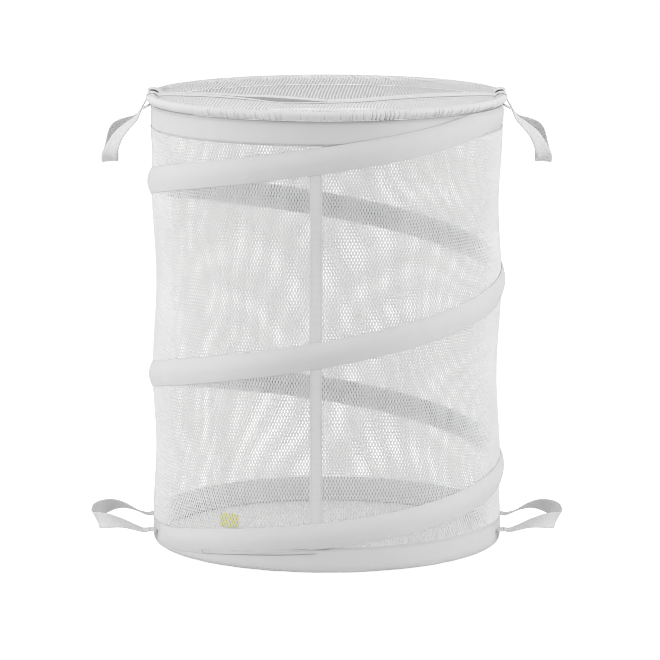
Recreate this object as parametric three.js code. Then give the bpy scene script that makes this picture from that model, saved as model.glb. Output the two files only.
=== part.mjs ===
// A pop up laundry hamper: a net cylinder held open by a spiral spring wire in a cloth
// sleeve, a hoop at each end, a cloth floor, a net lid in two flaps that meet at a slit, and
// four webbing loops. Millimetres, +Z up, the origin on the ground under the middle. The
// front is at -Y, and angles are counted in even steps round the body from the front
// towards +X. A coarse grid of openings stands for the fine mesh of the net.

import * as THREE from 'three';
import { mergeVertices } from 'three/addons/utils/BufferGeometryUtils.js';

// Body
const HAMPER_HEIGHT = 580; // ground to the top of the rim binding
const BODY_RADIUS = 225; // outside of the bands, and of the net where the spiral holds it
const FIT_GAP = 0.3; // clearance between neighbours that touch on the real product
const STEPS = 48; // facets round the body
const SAME_POINT = 0.002; // points nearer than this are one
const NET_THICKNESS = 0.6;
const NET_ROWS = 10; // rows of openings up the wall
const NET_OPEN_SHARE = 0.68; // part of a row's height that is open
const WAIST_DEPTH = 5; // how far the net draws in between two turns of the spiral
const BAND_THICKNESS = 1.2;
const TOP_BAND_HEIGHT = 31;
const BOTTOM_BAND_HEIGHT = 25;
const SEAM_WIDTH = 15.3;
const SEAM_THICKNESS = 1;
const SEAM_OFFSET = 13.4; // from the front middle, towards -X

// Rim
const RIM_BINDING_RADIUS = 6.5;
const RIM_BINDING_CLOTH = 0.9;
const RIM_OVERHANG = 5; // how far the rim binding stands out past the band
const RIM_POINTS = 9;
const HOOP_WIRE_RADIUS = 1.4;
const HOOP_WIRE_SIDES = 6;
const HOOP_JOINT_GAP = 1;
const FERRULE_WALL = 0.6;
const FERRULE_LENGTH = 16;
const FERRULE_SIDES = 8;
const FERRULE_STEP = 24; // at the back

// Base
const PIPING_RADIUS = 4.5;
const PIPING_CLOTH = 0.9;
const PIPING_FLAT = 0.5; // depth of the flat that the base piping stands on
const PIPING_POINTS = 8;
const BINDING_MOUTH_SHARE = 0.07; // part of a binding's girth that its seam leaves open
const FLOOR_THICKNESS = 0.8;

// Spiral
const SPIRAL_START_STEP = 10;
const SPIRAL_STEPS = 114;
const SPIRAL_TOP_DROP = 20; // top of the hamper to the upper end of the wire
const SPIRAL_FOOT_RISE = 23; // ground to the lower end of the wire
// How far the wire has fallen at even places along it, as a share of its whole fall
const SPIRAL_FALL_SHARES = [
  0, 0.045, 0.0925, 0.1425, 0.195, 0.251, 0.309, 0.368, 0.4275, 0.487,
  0.546, 0.605, 0.6635, 0.721, 0.776, 0.829, 0.8795, 0.9255, 0.9655, 1,
];
const SPIRAL_WIRE_RADIUS = 1.2;
const SPIRAL_WIRE_SIDES = 6;
const SPIRAL_END_INSET = 4; // from the sleeve's mouth to the cap
const CAP_WALL = 0.4;
const CAP_FLOOR = 0.8;
const CAP_LENGTH = 9;
const CAP_SIDES = 8;
const SLEEVE_WIDTH = 33;
const SLEEVE_CLOTH = 0.8;
const SLEEVE_ARCH_SHARES = [[-1, 0], [-0.5, 0.72], [0, 1], [0.5, 0.72], [1, 0]];

// Lid
const LID_EDGE_RISE = 2.5; // the lid's edge above the middle of the rim binding
const LID_SAG = 9;
const LID_CURVE_SHARE = 1.5; // 1 is a straight fall from the rim, more is a hanging one
const LID_COLUMNS = 27;
const LID_ROW_SHARES = [0, 0.07, 0.465, 0.535, 0.93, 1]; // every second row is open
const LID_SOLID_ENDS = 4; // columns left solid where a flap narrows
const SLIT_GAP = 1;
const SLIT_MOUTH_WIDTH = 14; // the widest part of the gaping slit, in plan
const SLIT_MOUTH_LENGTH = 94;
const SLIT_MOUTH_OFFSET = 61; // from the middle, towards -X
const TAPE_WIDTH = 20;
const TAPE_THICKNESS = 1.2;
// Height of each slit edge along X, from one end of the slit to the other
const REAR_EDGE_SHARES = [0.3, 0.15, 0, -0.28, -0.36, -0.66, -1.05, -0.95, -0.6, -0.25, 0, 0.15, 0.3];
const FRONT_EDGE_SHARES = [0.3, 0.13, -0.04, -0.4, -0.82, -1.1, -1.07, -0.95, -0.6, -0.25, 0, 0.15, 0.3];

// Webbing loops
const STRAP_WIDTH = 20;
const STRAP_THICKNESS = 1.2;
const STRAP_LEAD = 0.25; // how far a loop's end reaches past the line that it folds on
const STRAP_FOLD_GAP = 0.9; // from a loop's end to its sewn tab
const TOP_FOLD_STANDOFF = 11.5; // from the band out to the line that a top loop folds on
const TOP_FOLD_DROP = 20; // from the hamper's top down to it
const TOP_LOOP_REACH = 41.5;
const TOP_LOOP_DROP = 68.4;
const TOP_LOOP_SPREAD = 22;
const TOP_LOOP_PATH_SHARES = [[0, 0], [0.16, -0.17], [0.42, -0.31], [0.71, -0.49], [0.9, -0.71], [1, -0.88], [1, -1]];
const TOP_LOOP_TURN_SHARE = 0.8; // where along its path a loop starts to turn back
const TOP_LOOP_TWIST_SHARE = 0.4; // where along its path the webbing has turned on edge
const TOP_LOOP_PARTING = 6; // how far the rear half stands out and up from the front half
const BASE_FOLD_STANDOFF = 3;
const BASE_FOLD_RISE = 18.7;
const BASE_LOOP_REACH = 72.8;
const BASE_LOOP_RISE = 16;
const BASE_ROOT_SPREAD = 51;
const BASE_LOOP_SPREAD = 50;
const BASE_LOOP_PATH_SHARES = [[0, 0], [0.18, 0.02], [0.36, 0.4], [0.56, 0.78], [0.8, 0.95], [1, 1]];
const BASE_LOOP_TURN_SHARE = 0.48;
const BASE_LOOP_TWIST_SHARE = 0.4;
const BASE_LOOP_LEAN_SHARE = 0.27; // of a quarter turn, the upper edge outwards
const BASE_LOOP_CORNER_SHARE = 0.667; // 1 is an ellipse, and less is squarer
const LOOP_RUN_STEPS = 9;
const LOOP_TURN_STEPS = 7;
const TAB_POINTS = 5;
const TAB_WRAP_STEPS = 8;
const TAB_WRAP_FROM_SHARE = 0.7; // shares of a half turn, from the level outwards
const TAB_WRAP_TO_SHARE = -0.1;

// Sewn tag
const TAG_WIDTH = 26;
const TAG_HEIGHT = 18;
const TAG_THICKNESS = 0.4;
const TAG_GAP = 0.5; // behind the net, so that the tag passes inside the top band
const TAG_STEP = -4.5;
const TAG_RISE = 51;

// Places that follow from the sizes
const stepAngle = 2 * Math.PI / STEPS;
const stepLength = BODY_RADIUS * stepAngle;
const rimRadius = BODY_RADIUS + RIM_OVERHANG - RIM_BINDING_RADIUS;
const rimHeight = HAMPER_HEIGHT - RIM_BINDING_RADIUS;
const pipingRadius = BODY_RADIUS - PIPING_RADIUS;
const pipingHeight = PIPING_RADIUS - PIPING_FLAT;
const bandInside = BODY_RADIUS - BAND_THICKNESS;
const topBandTop = rimHeight - reachBeside(RIM_BINDING_RADIUS + FIT_GAP, bandInside - rimRadius);
const topBandFoot = topBandTop - TOP_BAND_HEIGHT;
const bottomBandFoot = pipingHeight + reachBeside(PIPING_RADIUS + FIT_GAP, bandInside - pipingRadius);
const bottomBandTop = bottomBandFoot + BOTTOM_BAND_HEIGHT;
const wallFoot = bottomBandTop + FIT_GAP;
const wallTop = topBandFoot - FIT_GAP;
const spiralTop = HAMPER_HEIGHT - SPIRAL_TOP_DROP;
const capRadius = SPIRAL_WIRE_RADIUS + FIT_GAP + CAP_WALL;
const spiralRadius = BODY_RADIUS + FIT_GAP + capRadius;
const sleeveFoot = BODY_RADIUS + FIT_GAP;
const sleeveArch = FIT_GAP + 2 * capRadius;
const lidHeight = rimHeight + LID_EDGE_RISE;
const lidRadius = (rimRadius - reachBeside(RIM_BINDING_RADIUS, LID_EDGE_RISE)) * Math.cos(stepAngle / 2) - FIT_GAP;
const slitSide = SLIT_GAP / 2;
const tapeSide = slitSide + TAPE_WIDTH;
const tapeEnd = Math.sqrt(lidRadius ** 2 - tapeSide ** 2) - FIT_GAP;
const topFoldRadius = BODY_RADIUS + TOP_FOLD_STANDOFF;
const topFoldHeight = HAMPER_HEIGHT - TOP_FOLD_DROP;
const topRootSpread = slitSide + STRAP_WIDTH / 2;
const baseFoldRadius = BODY_RADIUS + BASE_FOLD_STANDOFF;

const CLOTH_COLOUR = 0xe6e6e6;
const NET_COLOUR = 0xdddddd;
const WEBBING_COLOUR = 0xd8d8d8;
const STEEL_COLOUR = 0x9a9c9f;
const TAG_COLOUR = 0xe6e2b0;

const hamper = new THREE.Group();

// How far a circle's edge lies from its middle, measured beside that middle.
function reachBeside(radius, beside) {
  return Math.sqrt(radius ** 2 - beside ** 2);
}

// A point on the facets round the body: whole steps are the corners.
function ringPoint(step, radius, height) {
  const corner = Math.floor(step);
  const share = step - corner;
  const from = corner * stepAngle;
  const to = from + stepAngle;
  const across = Math.sin(from) * (1 - share) + Math.sin(to) * share;
  const ahead = Math.cos(from) * (1 - share) + Math.cos(to) * share;
  return new THREE.Vector3(radius * across, -radius * ahead, height);
}

// Triangles in, one closed geometry with its faces outwards.
function closedGeometry(triangles) {
  const apart = (a, b) => a.distanceTo(b) > SAME_POINT;
  const real = triangles.filter(([a, b, c]) => apart(a, b) && apart(b, c) && apart(c, a));
  let volume = 0;
  for (const [a, b, c] of real) volume += a.dot(b.clone().cross(c));
  const outward = volume > 0 ? real : real.map(([a, b, c]) => [a, c, b]);
  const positions = outward.flat().flatMap((point) => point.toArray());
  const soup = new THREE.BufferGeometry();
  soup.setAttribute('position', new THREE.Float32BufferAttribute(positions, 3));
  const geometry = mergeVertices(soup, SAME_POINT);
  geometry.computeVertexNormals();
  return geometry;
}

function quad(a, b, c, d) {
  return [[a, b, c], [a, c, d]];
}

// A solid between two skins of points, each station holding an outer and an inner row.
// Cells of it can be left open, as long as no two of them touch.
function shellSolid(stations, isRing = false, isOpen = () => false) {
  const triangles = [];
  const last = stations.length - 1;
  const spans = stations.slice(1).map((station, i) => [stations[i], station]);
  if (isRing) spans.push([stations[last], stations[0]]);
  spans.forEach(([one, two], span) => {
    const end = one.outer.length - 1;
    for (let i = 0; i < end; i++) {
      const outer = [one.outer[i], two.outer[i], two.outer[i + 1], one.outer[i + 1]];
      const inner = [one.inner[i], two.inner[i], two.inner[i + 1], one.inner[i + 1]];
      if (isOpen(span, i)) {
        triangles.push(...openingFaces(outer, inner));
      } else {
        triangles.push(...quad(...outer), ...quad(inner[0], inner[3], inner[2], inner[1]));
      }
    }
    triangles.push(...quad(one.outer[0], one.inner[0], two.inner[0], two.outer[0]));
    triangles.push(...quad(one.outer[end], two.outer[end], two.inner[end], one.inner[end]));
  });
  if (!isRing) triangles.push(...endFaces(stations[0], false), ...endFaces(stations[last], true));
  return closedGeometry(triangles);
}

// The four faces that join the skins round an opening.
function openingFaces(outer, inner) {
  return outer.flatMap((corner, i) => {
    const next = (i + 1) % outer.length;
    return quad(corner, outer[next], inner[next], inner[i]);
  });
}

function endFaces({ outer, inner }, isFar) {
  const faces = [];
  for (let i = 0; i < outer.length - 1; i++) {
    const face = quad(outer[i], outer[i + 1], inner[i + 1], inner[i]);
    faces.push(...(isFar ? face.map(([a, b, c]) => [a, c, b]) : face));
  }
  return faces;
}

// A solid swept through rings of points, with flat ends.
function ringSolid(rings) {
  const triangles = [];
  const sides = rings[0].length;
  for (let i = 0; i < rings.length - 1; i++) {
    for (let j = 0; j < sides; j++) {
      const next = (j + 1) % sides;
      triangles.push(...quad(rings[i][j], rings[i + 1][j], rings[i + 1][next], rings[i][next]));
    }
  }
  const last = rings[rings.length - 1];
  for (let j = 1; j < sides - 1; j++) {
    triangles.push([rings[0][0], rings[0][j], rings[0][j + 1]]);
    triangles.push([last[0], last[j + 1], last[j]]);
  }
  return closedGeometry(triangles);
}

function roundSection(step, middleRadius, middleHeight, radius, sides) {
  const points = [];
  for (let i = 0; i < sides; i++) {
    const turn = 2 * Math.PI * i / sides;
    const out = middleRadius + radius * Math.cos(turn);
    points.push(ringPoint(step, out, middleHeight + radius * Math.sin(turn)));
  }
  return points;
}

function addPiece(name, geometry, colour, roughness = 0.9, metalness = 0) {
  const material = new THREE.MeshStandardMaterial({ color: colour, roughness, metalness });
  material.side = THREE.DoubleSide;
  const mesh = new THREE.Mesh(geometry, material);
  mesh.name = name;
  hamper.add(mesh);
  return mesh;
}

// The spiral's height at each of its corners, from the upper end down.
function spiralHeights() {
  const fall = new THREE.SplineCurve(SPIRAL_FALL_SHARES.map((share, i) => new THREE.Vector2(i, share)));
  return Array.from({ length: SPIRAL_STEPS + 1 }, (_, i) => (
    spiralTop - (spiralTop - SPIRAL_FOOT_RISE) * fall.getPoint(i / SPIRAL_STEPS).y));
}

const spiral = spiralHeights();

// A place on the spiral between two of its corners, counted from the upper end.
function spiralPlace(along) {
  const corner = Math.min(Math.floor(along), SPIRAL_STEPS - 1);
  const share = along - corner;
  const height = spiral[corner] * (1 - share) + spiral[corner + 1] * share;
  return { step: SPIRAL_START_STEP - along, height };
}

// Heights that hold the net out at one corner of the body.
function netSupports(step) {
  const turns = spiral.filter((height, i) => (SPIRAL_START_STEP - i - step) % STEPS === 0);
  const inside = turns.filter((height) => height > wallFoot && height < wallTop);
  return [wallFoot, ...inside.reverse(), wallTop];
}

function netRadius(step, height) {
  const supports = netSupports(step);
  const above = Math.max(1, supports.findIndex((level) => level >= height));
  const low = supports[above - 1];
  const span = supports[above] - low;
  const turnRise = STEPS * (spiralTop - SPIRAL_FOOT_RISE) / SPIRAL_STEPS;
  const drawn = Math.sin(Math.PI * (height - low) / span) ** 2 * span / turnRise;
  return BODY_RADIUS - WAIST_DEPTH * drawn;
}

function netPoint(step, height, inset) {
  const corner = Math.floor(step);
  const from = ringPoint(corner, netRadius(corner, height) - inset, height);
  const to = ringPoint(corner + 1, netRadius(corner + 1, height) - inset, height);
  return from.lerp(to, step - corner);
}

// Net and tape between two heights, one station for each place round the body.
function netShell(steps, levels, outset, thickness, isOpen) {
  const stations = steps.map((step) => ({
    outer: levels.map((height) => netPoint(step, height, outset)),
    inner: levels.map((height) => netPoint(step, height, outset + thickness)),
  }));
  return shellSolid(stations, false, isOpen);
}

function evenLevels(foot, top, rows) {
  return Array.from({ length: rows + 1 }, (_, i) => foot + (top - foot) * i / rows);
}

// Levels from the wall's foot to its top: a solid strip and an open one in turn.
function wallLevels() {
  const strip = 1 - NET_OPEN_SHARE;
  const row = (wallTop - wallFoot) / (NET_ROWS + strip);
  return Array.from({ length: NET_ROWS + 1 }, (_, i) => i).flatMap((i) => (
    [wallFoot + row * i, wallFoot + row * (i + strip)]));
}

// Openings lie in every second row and every second column, clear of both ends.
function isNetOpening(columns, solidEnds) {
  return (column, row) => {
    const isClear = column >= solidEnds && column < columns - solidEnds;
    return isClear && row % 2 === 1 && (column - solidEnds) % 2 === 0;
  };
}

function addWall() {
  const seamMiddle = -SEAM_OFFSET / stepLength;
  const seamHalf = SEAM_WIDTH / 2 / stepLength;
  const gap = FIT_GAP / stepLength;
  const levels = wallLevels();
  const first = seamMiddle + seamHalf + gap;
  const last = STEPS + seamMiddle - seamHalf - gap;
  const corners = Array.from({ length: STEPS }, (_, i) => i).filter((step) => step > first && step < last);
  const steps = [first, ...corners, last];
  const isOpen = isNetOpening(steps.length - 1, 1);
  addPiece('mesh_wall', netShell(steps, levels, 0, NET_THICKNESS, isOpen), NET_COLOUR);
  const seam = netShell([seamMiddle - seamHalf, seamMiddle + seamHalf], levels, 0, SEAM_THICKNESS);
  addPiece('wall_seam_tape', seam, CLOTH_COLOUR);
}

function addBand(name, foot, top) {
  const stations = Array.from({ length: STEPS }, (_, step) => ({
    outer: [ringPoint(step, BODY_RADIUS, foot), ringPoint(step, BODY_RADIUS, top)],
    inner: [ringPoint(step, bandInside, foot), ringPoint(step, bandInside, top)],
  }));
  addPiece(name, shellSolid(stations, true), CLOTH_COLOUR);
}

// Cloth folded round a hoop, open along a seam that faces the band.
function addBinding(name, middleRadius, middleHeight, radius, cloth, points, mouthTurn) {
  const mouth = 2 * Math.PI * BINDING_MOUTH_SHARE;
  const turns = Array.from({ length: points }, (_, i) => (
    mouthTurn + mouth / 2 + (2 * Math.PI - mouth) * i / (points - 1)));
  const skin = (step, size) => turns.map((turn) => {
    const height = middleHeight + size * Math.sin(turn);
    return ringPoint(step, middleRadius + size * Math.cos(turn), Math.max(0, height));
  });
  const stations = Array.from({ length: STEPS }, (_, step) => ({
    outer: skin(step, radius),
    inner: skin(step, radius - cloth),
  }));
  addPiece(name, shellSolid(stations, true), CLOTH_COLOUR);
}

// A hoop of wire whose ends meet in a crimped ferrule.
function addHoop(name, ferruleName, middleRadius, middleHeight) {
  const joint = FERRULE_STEP + 0.5;
  const wireGap = HOOP_JOINT_GAP / 2 / stepLength;
  const corners = Array.from({ length: STEPS }, (_, i) => FERRULE_STEP + 1 + i);
  const steps = [joint + wireGap, ...corners, joint + STEPS - wireGap];
  const wire = steps.map((step) => (
    roundSection(step, middleRadius, middleHeight, HOOP_WIRE_RADIUS, HOOP_WIRE_SIDES)));
  addPiece(name, ringSolid(wire), STEEL_COLOUR, 0.4, 0.9);
  const half = FERRULE_LENGTH / 2 / stepLength;
  const inside = (HOOP_WIRE_RADIUS + FIT_GAP) / Math.cos(Math.PI / FERRULE_SIDES);
  const size = { near: joint - half, far: joint + half, inside, outside: inside + FERRULE_WALL };
  addPiece(ferruleName, tubeSolid(size, middleRadius, middleHeight), STEEL_COLOUR, 0.4, 0.9);
}

function tubeSolid({ near, far, inside, outside }, middleRadius, middleHeight) {
  const section = (step, radius) => roundSection(step, middleRadius, middleHeight, radius, FERRULE_SIDES);
  const skins = [near, far].map((step) => ({ outer: section(step, outside), inner: section(step, inside) }));
  const stations = Array.from({ length: FERRULE_SIDES }, (_, i) => ({
    outer: skins.map((skin) => skin.outer[i]),
    inner: skins.map((skin) => skin.inner[i]),
  }));
  return shellSolid(stations, true);
}

// A hoop rests against its binding, a ferrule's thickness and a clearance from the cloth.
function hoopInset(bindingRadius, cloth) {
  const ferruleOutside = (HOOP_WIRE_RADIUS + FIT_GAP) / Math.cos(Math.PI / FERRULE_SIDES) + FERRULE_WALL;
  const innerFlat = (bindingRadius - cloth) * Math.cos(Math.PI / PIPING_POINTS);
  return Math.max(0, innerFlat - FIT_GAP - ferruleOutside);
}

function addHoopsAndBindings() {
  const up = Math.PI / 2;
  addBinding('rim_binding', rimRadius, rimHeight, RIM_BINDING_RADIUS, RIM_BINDING_CLOTH, RIM_POINTS, -up);
  addHoop('top_hoop_wire', 'top_hoop_ferrule', rimRadius, rimHeight + hoopInset(RIM_BINDING_RADIUS, RIM_BINDING_CLOTH));
  addBinding('base_piping', pipingRadius, pipingHeight, PIPING_RADIUS, PIPING_CLOTH, PIPING_POINTS, up);
  addHoop('base_hoop_wire', 'base_hoop_ferrule', pipingRadius, pipingHeight + hoopInset(PIPING_RADIUS, PIPING_CLOTH));
}

function addFloor() {
  const radius = pipingRadius - reachBeside(PIPING_RADIUS, pipingHeight - FLOOR_THICKNESS) - FIT_GAP;
  const stations = Array.from({ length: STEPS }, (_, step) => ({
    outer: [ringPoint(step, 0, FLOOR_THICKNESS), ringPoint(step, radius, FLOOR_THICKNESS)],
    inner: [ringPoint(step, 0, 0), ringPoint(step, radius, 0)],
  }));
  addPiece('floor_panel', discSolid(stations), NET_COLOUR);
}

// A round plate: the stations share their first points, in the middle.
function discSolid(stations) {
  const triangles = [];
  stations.forEach((one, i) => {
    const two = stations[(i + 1) % stations.length];
    triangles.push([one.outer[0], one.outer[1], two.outer[1]]);
    triangles.push([one.inner[0], two.inner[1], one.inner[1]]);
    triangles.push(...quad(one.outer[1], one.inner[1], two.inner[1], two.outer[1]));
  });
  return closedGeometry(triangles);
}

// The sleeve arches over the wire, and its edges are trimmed at the bindings.
function sleeveStation(along) {
  const { step, height } = spiralPlace(along);
  const up = Math.min(SLEEVE_WIDTH / 2, topBandTop - height);
  const down = Math.min(SLEEVE_WIDTH / 2, height - bottomBandFoot);
  const row = (outset) => SLEEVE_ARCH_SHARES.map(([across, rise]) => {
    const level = height + across * (across > 0 ? up : down);
    return ringPoint(step, sleeveFoot + outset + rise * sleeveArch, level);
  });
  return { outer: row(SLEEVE_CLOTH), inner: row(0) };
}

function addSpiral() {
  const stations = Array.from({ length: SPIRAL_STEPS + 1 }, (_, i) => sleeveStation(i));
  addPiece('spiral_sleeve', shellSolid(stations), CLOTH_COLOUR);
  const inset = (SPIRAL_END_INSET + CAP_FLOOR + FIT_GAP) / stepLength;
  const corners = Array.from({ length: SPIRAL_STEPS - 1 }, (_, i) => i + 1);
  const places = [inset, ...corners, SPIRAL_STEPS - inset];
  const rings = places.map((along) => wireSection(along, SPIRAL_WIRE_RADIUS, SPIRAL_WIRE_SIDES));
  addPiece('spiral_wire', ringSolid(rings), STEEL_COLOUR, 0.4, 0.9);
  addPiece('spiral_top_cap', capSolid((along) => along), CLOTH_COLOUR, 0.5);
  addPiece('spiral_foot_cap', capSolid((along) => SPIRAL_STEPS - along), CLOTH_COLOUR, 0.5);
  console.log(`Least gap between turns of the spiral wire: ${leastTurnGap().toFixed(1)} mm`);
}

function wireSection(along, radius, sides) {
  const { step, height } = spiralPlace(along);
  return roundSection(step, spiralRadius, height, radius, sides);
}

// A cap with a blind bore over one end of the wire.
function capSolid(alongFrom) {
  const mouth = (SPIRAL_END_INSET + CAP_LENGTH) / stepLength;
  const face = SPIRAL_END_INSET / stepLength;
  const bed = (SPIRAL_END_INSET + CAP_FLOOR) / stepLength;
  const bore = capRadius - CAP_WALL;
  const rings = [[face, capRadius], [mouth, capRadius], [mouth, bore], [bed, bore]];
  return ringSolid(rings.map(([along, radius]) => wireSection(alongFrom(along), radius, CAP_SIDES)));
}

// Measured between the wire's points, a quarter turn apart or more.
function leastTurnGap() {
  const middles = spiral.map((height, i) => ringPoint(SPIRAL_START_STEP - i, spiralRadius, height));
  let least = Infinity;
  for (let i = 0; i < middles.length; i++) {
    for (let j = i + STEPS / 4; j < middles.length; j++) {
      least = Math.min(least, middles[i].distanceTo(middles[j]));
    }
  }
  return least - 2 * SPIRAL_WIRE_RADIUS;
}

function addTag() {
  const half = TAG_WIDTH / 2 / stepLength;
  const steps = [TAG_STEP - half, TAG_STEP + half];
  const levels = evenLevels(TAG_RISE, TAG_RISE + TAG_HEIGHT, 2);
  const tag = netShell(steps, levels, NET_THICKNESS + TAG_GAP, TAG_THICKNESS);
  addPiece('sewn_tag', tag, TAG_COLOUR);
}

// One slit edge's height over the lid's edge, along the slit from -1 to 1.
function edgeHeight(shares, along) {
  const place = (along + 1) / 2 * (shares.length - 1);
  const before = Math.min(Math.floor(place), shares.length - 2);
  const share = place - before;
  return lidHeight + LID_SAG * (shares[before] * (1 - share) + shares[before + 1] * share);
}

// How far the front edge is drawn back from the slit's line.
function mouthDepth(x) {
  const off = (x + SLIT_MOUTH_OFFSET) / (SLIT_MOUTH_LENGTH / 2);
  return Math.abs(off) < 1 ? SLIT_MOUTH_WIDTH * Math.cos(Math.PI / 2 * off) ** 2 : 0;
}

function slitEdge(isFront, x) {
  const shares = isFront ? FRONT_EDGE_SHARES : REAR_EDGE_SHARES;
  const depth = isFront ? mouthDepth(x) : 0;
  return { depth, height: edgeHeight(shares, x / lidRadius) };
}

// The lid sinks from the rim to the slit, and rises over the rim at the slit's ends.
function lidLevel(isFront, x, out) {
  const { depth, height } = slitEdge(isFront, x);
  const rim = Math.sqrt(lidRadius ** 2 - x ** 2);
  const inward = Math.max(0, rim - out) / (rim - slitSide - depth);
  return lidHeight + (height - lidHeight) * inward ** LID_CURVE_SHARE;
}

// A row of points of the lid net, from the tape to the rim, at one place across.
function lidRow(isFront, x, lift) {
  const side = isFront ? -1 : 1;
  const rim = Math.sqrt(lidRadius ** 2 - x ** 2);
  const tape = Math.min(rim, tapeSide + FIT_GAP + slitEdge(isFront, x).depth);
  return LID_ROW_SHARES.map((share) => {
    const out = tape + (rim - tape) * share;
    return new THREE.Vector3(x, side * out, lidLevel(isFront, x, out) + lift);
  });
}

// The tape and the panel share their places along X, so their edges run side by side.
function addFlap(isFront) {
  const name = isFront ? 'front' : 'rear';
  const corner = Math.sqrt(lidRadius ** 2 - (tapeSide + FIT_GAP) ** 2);
  const ends = Array.from({ length: LID_COLUMNS + 1 }, (_, i) => -tapeEnd * Math.cos(Math.PI * i / LID_COLUMNS));
  const places = [-corner, ...ends, corner];
  const lift = NET_THICKNESS / 2;
  const panel = places.map((x) => ({ outer: lidRow(isFront, x, lift), inner: lidRow(isFront, x, -lift) }));
  const isOpen = isNetOpening(places.length - 1, LID_SOLID_ENDS);
  addPiece(`lid_${name}_panel`, shellSolid(panel, false, isOpen), NET_COLOUR);
  const tape = ends.map((x) => tapeStation(isFront, x));
  addPiece(`lid_${name}_tape`, shellSolid(tape), CLOTH_COLOUR);
}

function tapeStation(isFront, x) {
  const side = isFront ? -1 : 1;
  const { depth } = slitEdge(isFront, x);
  const row = (lift) => [slitSide, tapeSide].map((out) => (
    new THREE.Vector3(x, side * (out + depth), lidLevel(isFront, x, out + depth) + lift)));
  return { outer: row(TAPE_THICKNESS / 2), inner: row(-TAPE_THICKNESS / 2) };
}

// Webbing across a path: its middle, the way it runs and the way its width lies.
function strapStation(middle, run, width) {
  const across = width.clone().multiplyScalar(STRAP_WIDTH / 2);
  const out = new THREE.Vector3().crossVectors(run, width).normalize().multiplyScalar(STRAP_THICKNESS / 2);
  const row = (face) => [middle.clone().add(face).sub(across), middle.clone().add(face).add(across)];
  return { outer: row(out), inner: row(out.clone().negate()) };
}

// The half of a loop from its front root to its tip, seen from the front as a side path.
function loopHalf({ path, rootSpread, spread, turnShare, cornerShare }) {
  const places = [];
  for (let i = 0; i < LOOP_RUN_STEPS; i++) {
    const share = i / LOOP_RUN_STEPS;
    const opened = share ** 2 * (3 - 2 * share);
    places.push({ along: turnShare * share, aside: rootSpread + (spread - rootSpread) * opened });
  }
  for (let i = 0; i <= LOOP_TURN_STEPS; i++) {
    const turn = Math.PI / 2 * i / LOOP_TURN_STEPS;
    const along = turnShare + (1 - turnShare) * Math.sin(turn) ** cornerShare;
    places.push({ along, aside: spread * Math.max(0, Math.cos(turn)) ** cornerShare });
  }
  return places.map(({ along, aside }) => {
    const at = path.getPointAt(along);
    const heading = path.getTangentAt(along);
    return {
      along,
      middle: new THREE.Vector3(at.x, -aside, at.y),
      up: new THREE.Vector3(-heading.y, 0, heading.x),
    };
  });
}

// The rear half of a loop mirrors the front one, and stands out and up from it on the way.
function rearMiddle({ middle, along }, parting) {
  const away = parting * Math.sin(Math.PI * along) ** 3;
  return new THREE.Vector3(middle.x + away, -middle.y, middle.z + away);
}

// The webbing lies flat at its roots and turns on edge on its way to the tip.
function loopSolid(loop) {
  const half = loopHalf(loop);
  const back = half.slice(0, -1).reverse().map((place) => ({ ...place, isBack: true }));
  const places = [...half, ...back];
  const middles = places.map((place) => (place.isBack ? rearMiddle(place, loop.parting) : place.middle.clone()));
  extendEnds(middles);
  const stations = places.map(({ along, up, isBack }, i) => {
    const run = middles[Math.min(i + 1, middles.length - 1)].clone().sub(middles[Math.max(i - 1, 0)]).normalize();
    const turn = Math.min(1, along / loop.twistShare) * Math.PI / 2;
    const flat = new THREE.Vector3(0, isBack ? -1 : 1, 0);
    flat.addScaledVector(run, -flat.dot(run)).normalize();
    const width = up.clone().multiplyScalar(Math.sin(turn)).addScaledVector(flat, Math.cos(turn));
    const lean = loop.leanShare * Math.min(1, along / loop.turnShare) * Math.PI / 2;
    const away = new THREE.Vector3().crossVectors(run, up).normalize();
    width.multiplyScalar(Math.cos(lean)).addScaledVector(away, Math.sin(lean));
    return strapStation(middles[i], run, width.normalize());
  });
  return shellSolid(stations);
}

// Both ends of a loop reach a little past the line that it folds on.
function extendEnds(middles) {
  for (const [end, next] of [[0, 1], [middles.length - 1, middles.length - 2]]) {
    const away = middles[end].clone().sub(middles[next]).normalize();
    middles[end].addScaledVector(away, STRAP_LEAD);
  }
}

function sidePath(shares, reach, rise) {
  return new THREE.SplineCurve(shares.map(([out, up]) => new THREE.Vector2(out * reach, up * rise)));
}

// A piece made for the +X side, put at its place, or mirrored to the -X side.
function addSided(name, geometry, colour, isLeft, radius, height) {
  if (isLeft) {
    geometry.scale(-1, 1, 1);
    const index = geometry.index.array;
    for (let i = 0; i < index.length; i += 3) [index[i], index[i + 1]] = [index[i + 1], index[i]];
    geometry.computeVertexNormals();
  }
  const mesh = addPiece(name, geometry, colour);
  mesh.position.set(isLeft ? -radius : radius, 0, height);
}

// A sewn tab: webbing along a path in the XZ plane, at one place along Y.
function tabSolid(points, aside) {
  const width = new THREE.Vector3(0, 1, 0);
  const stations = points.map((point, i) => {
    const ahead = points[Math.min(i + 1, points.length - 1)];
    const behind = points[Math.max(i - 1, 0)];
    const run = new THREE.Vector3(ahead.x - behind.x, 0, ahead.y - behind.y).normalize();
    return strapStation(new THREE.Vector3(point.x, aside, point.y), run, width);
  });
  return shellSolid(stations);
}

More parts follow.
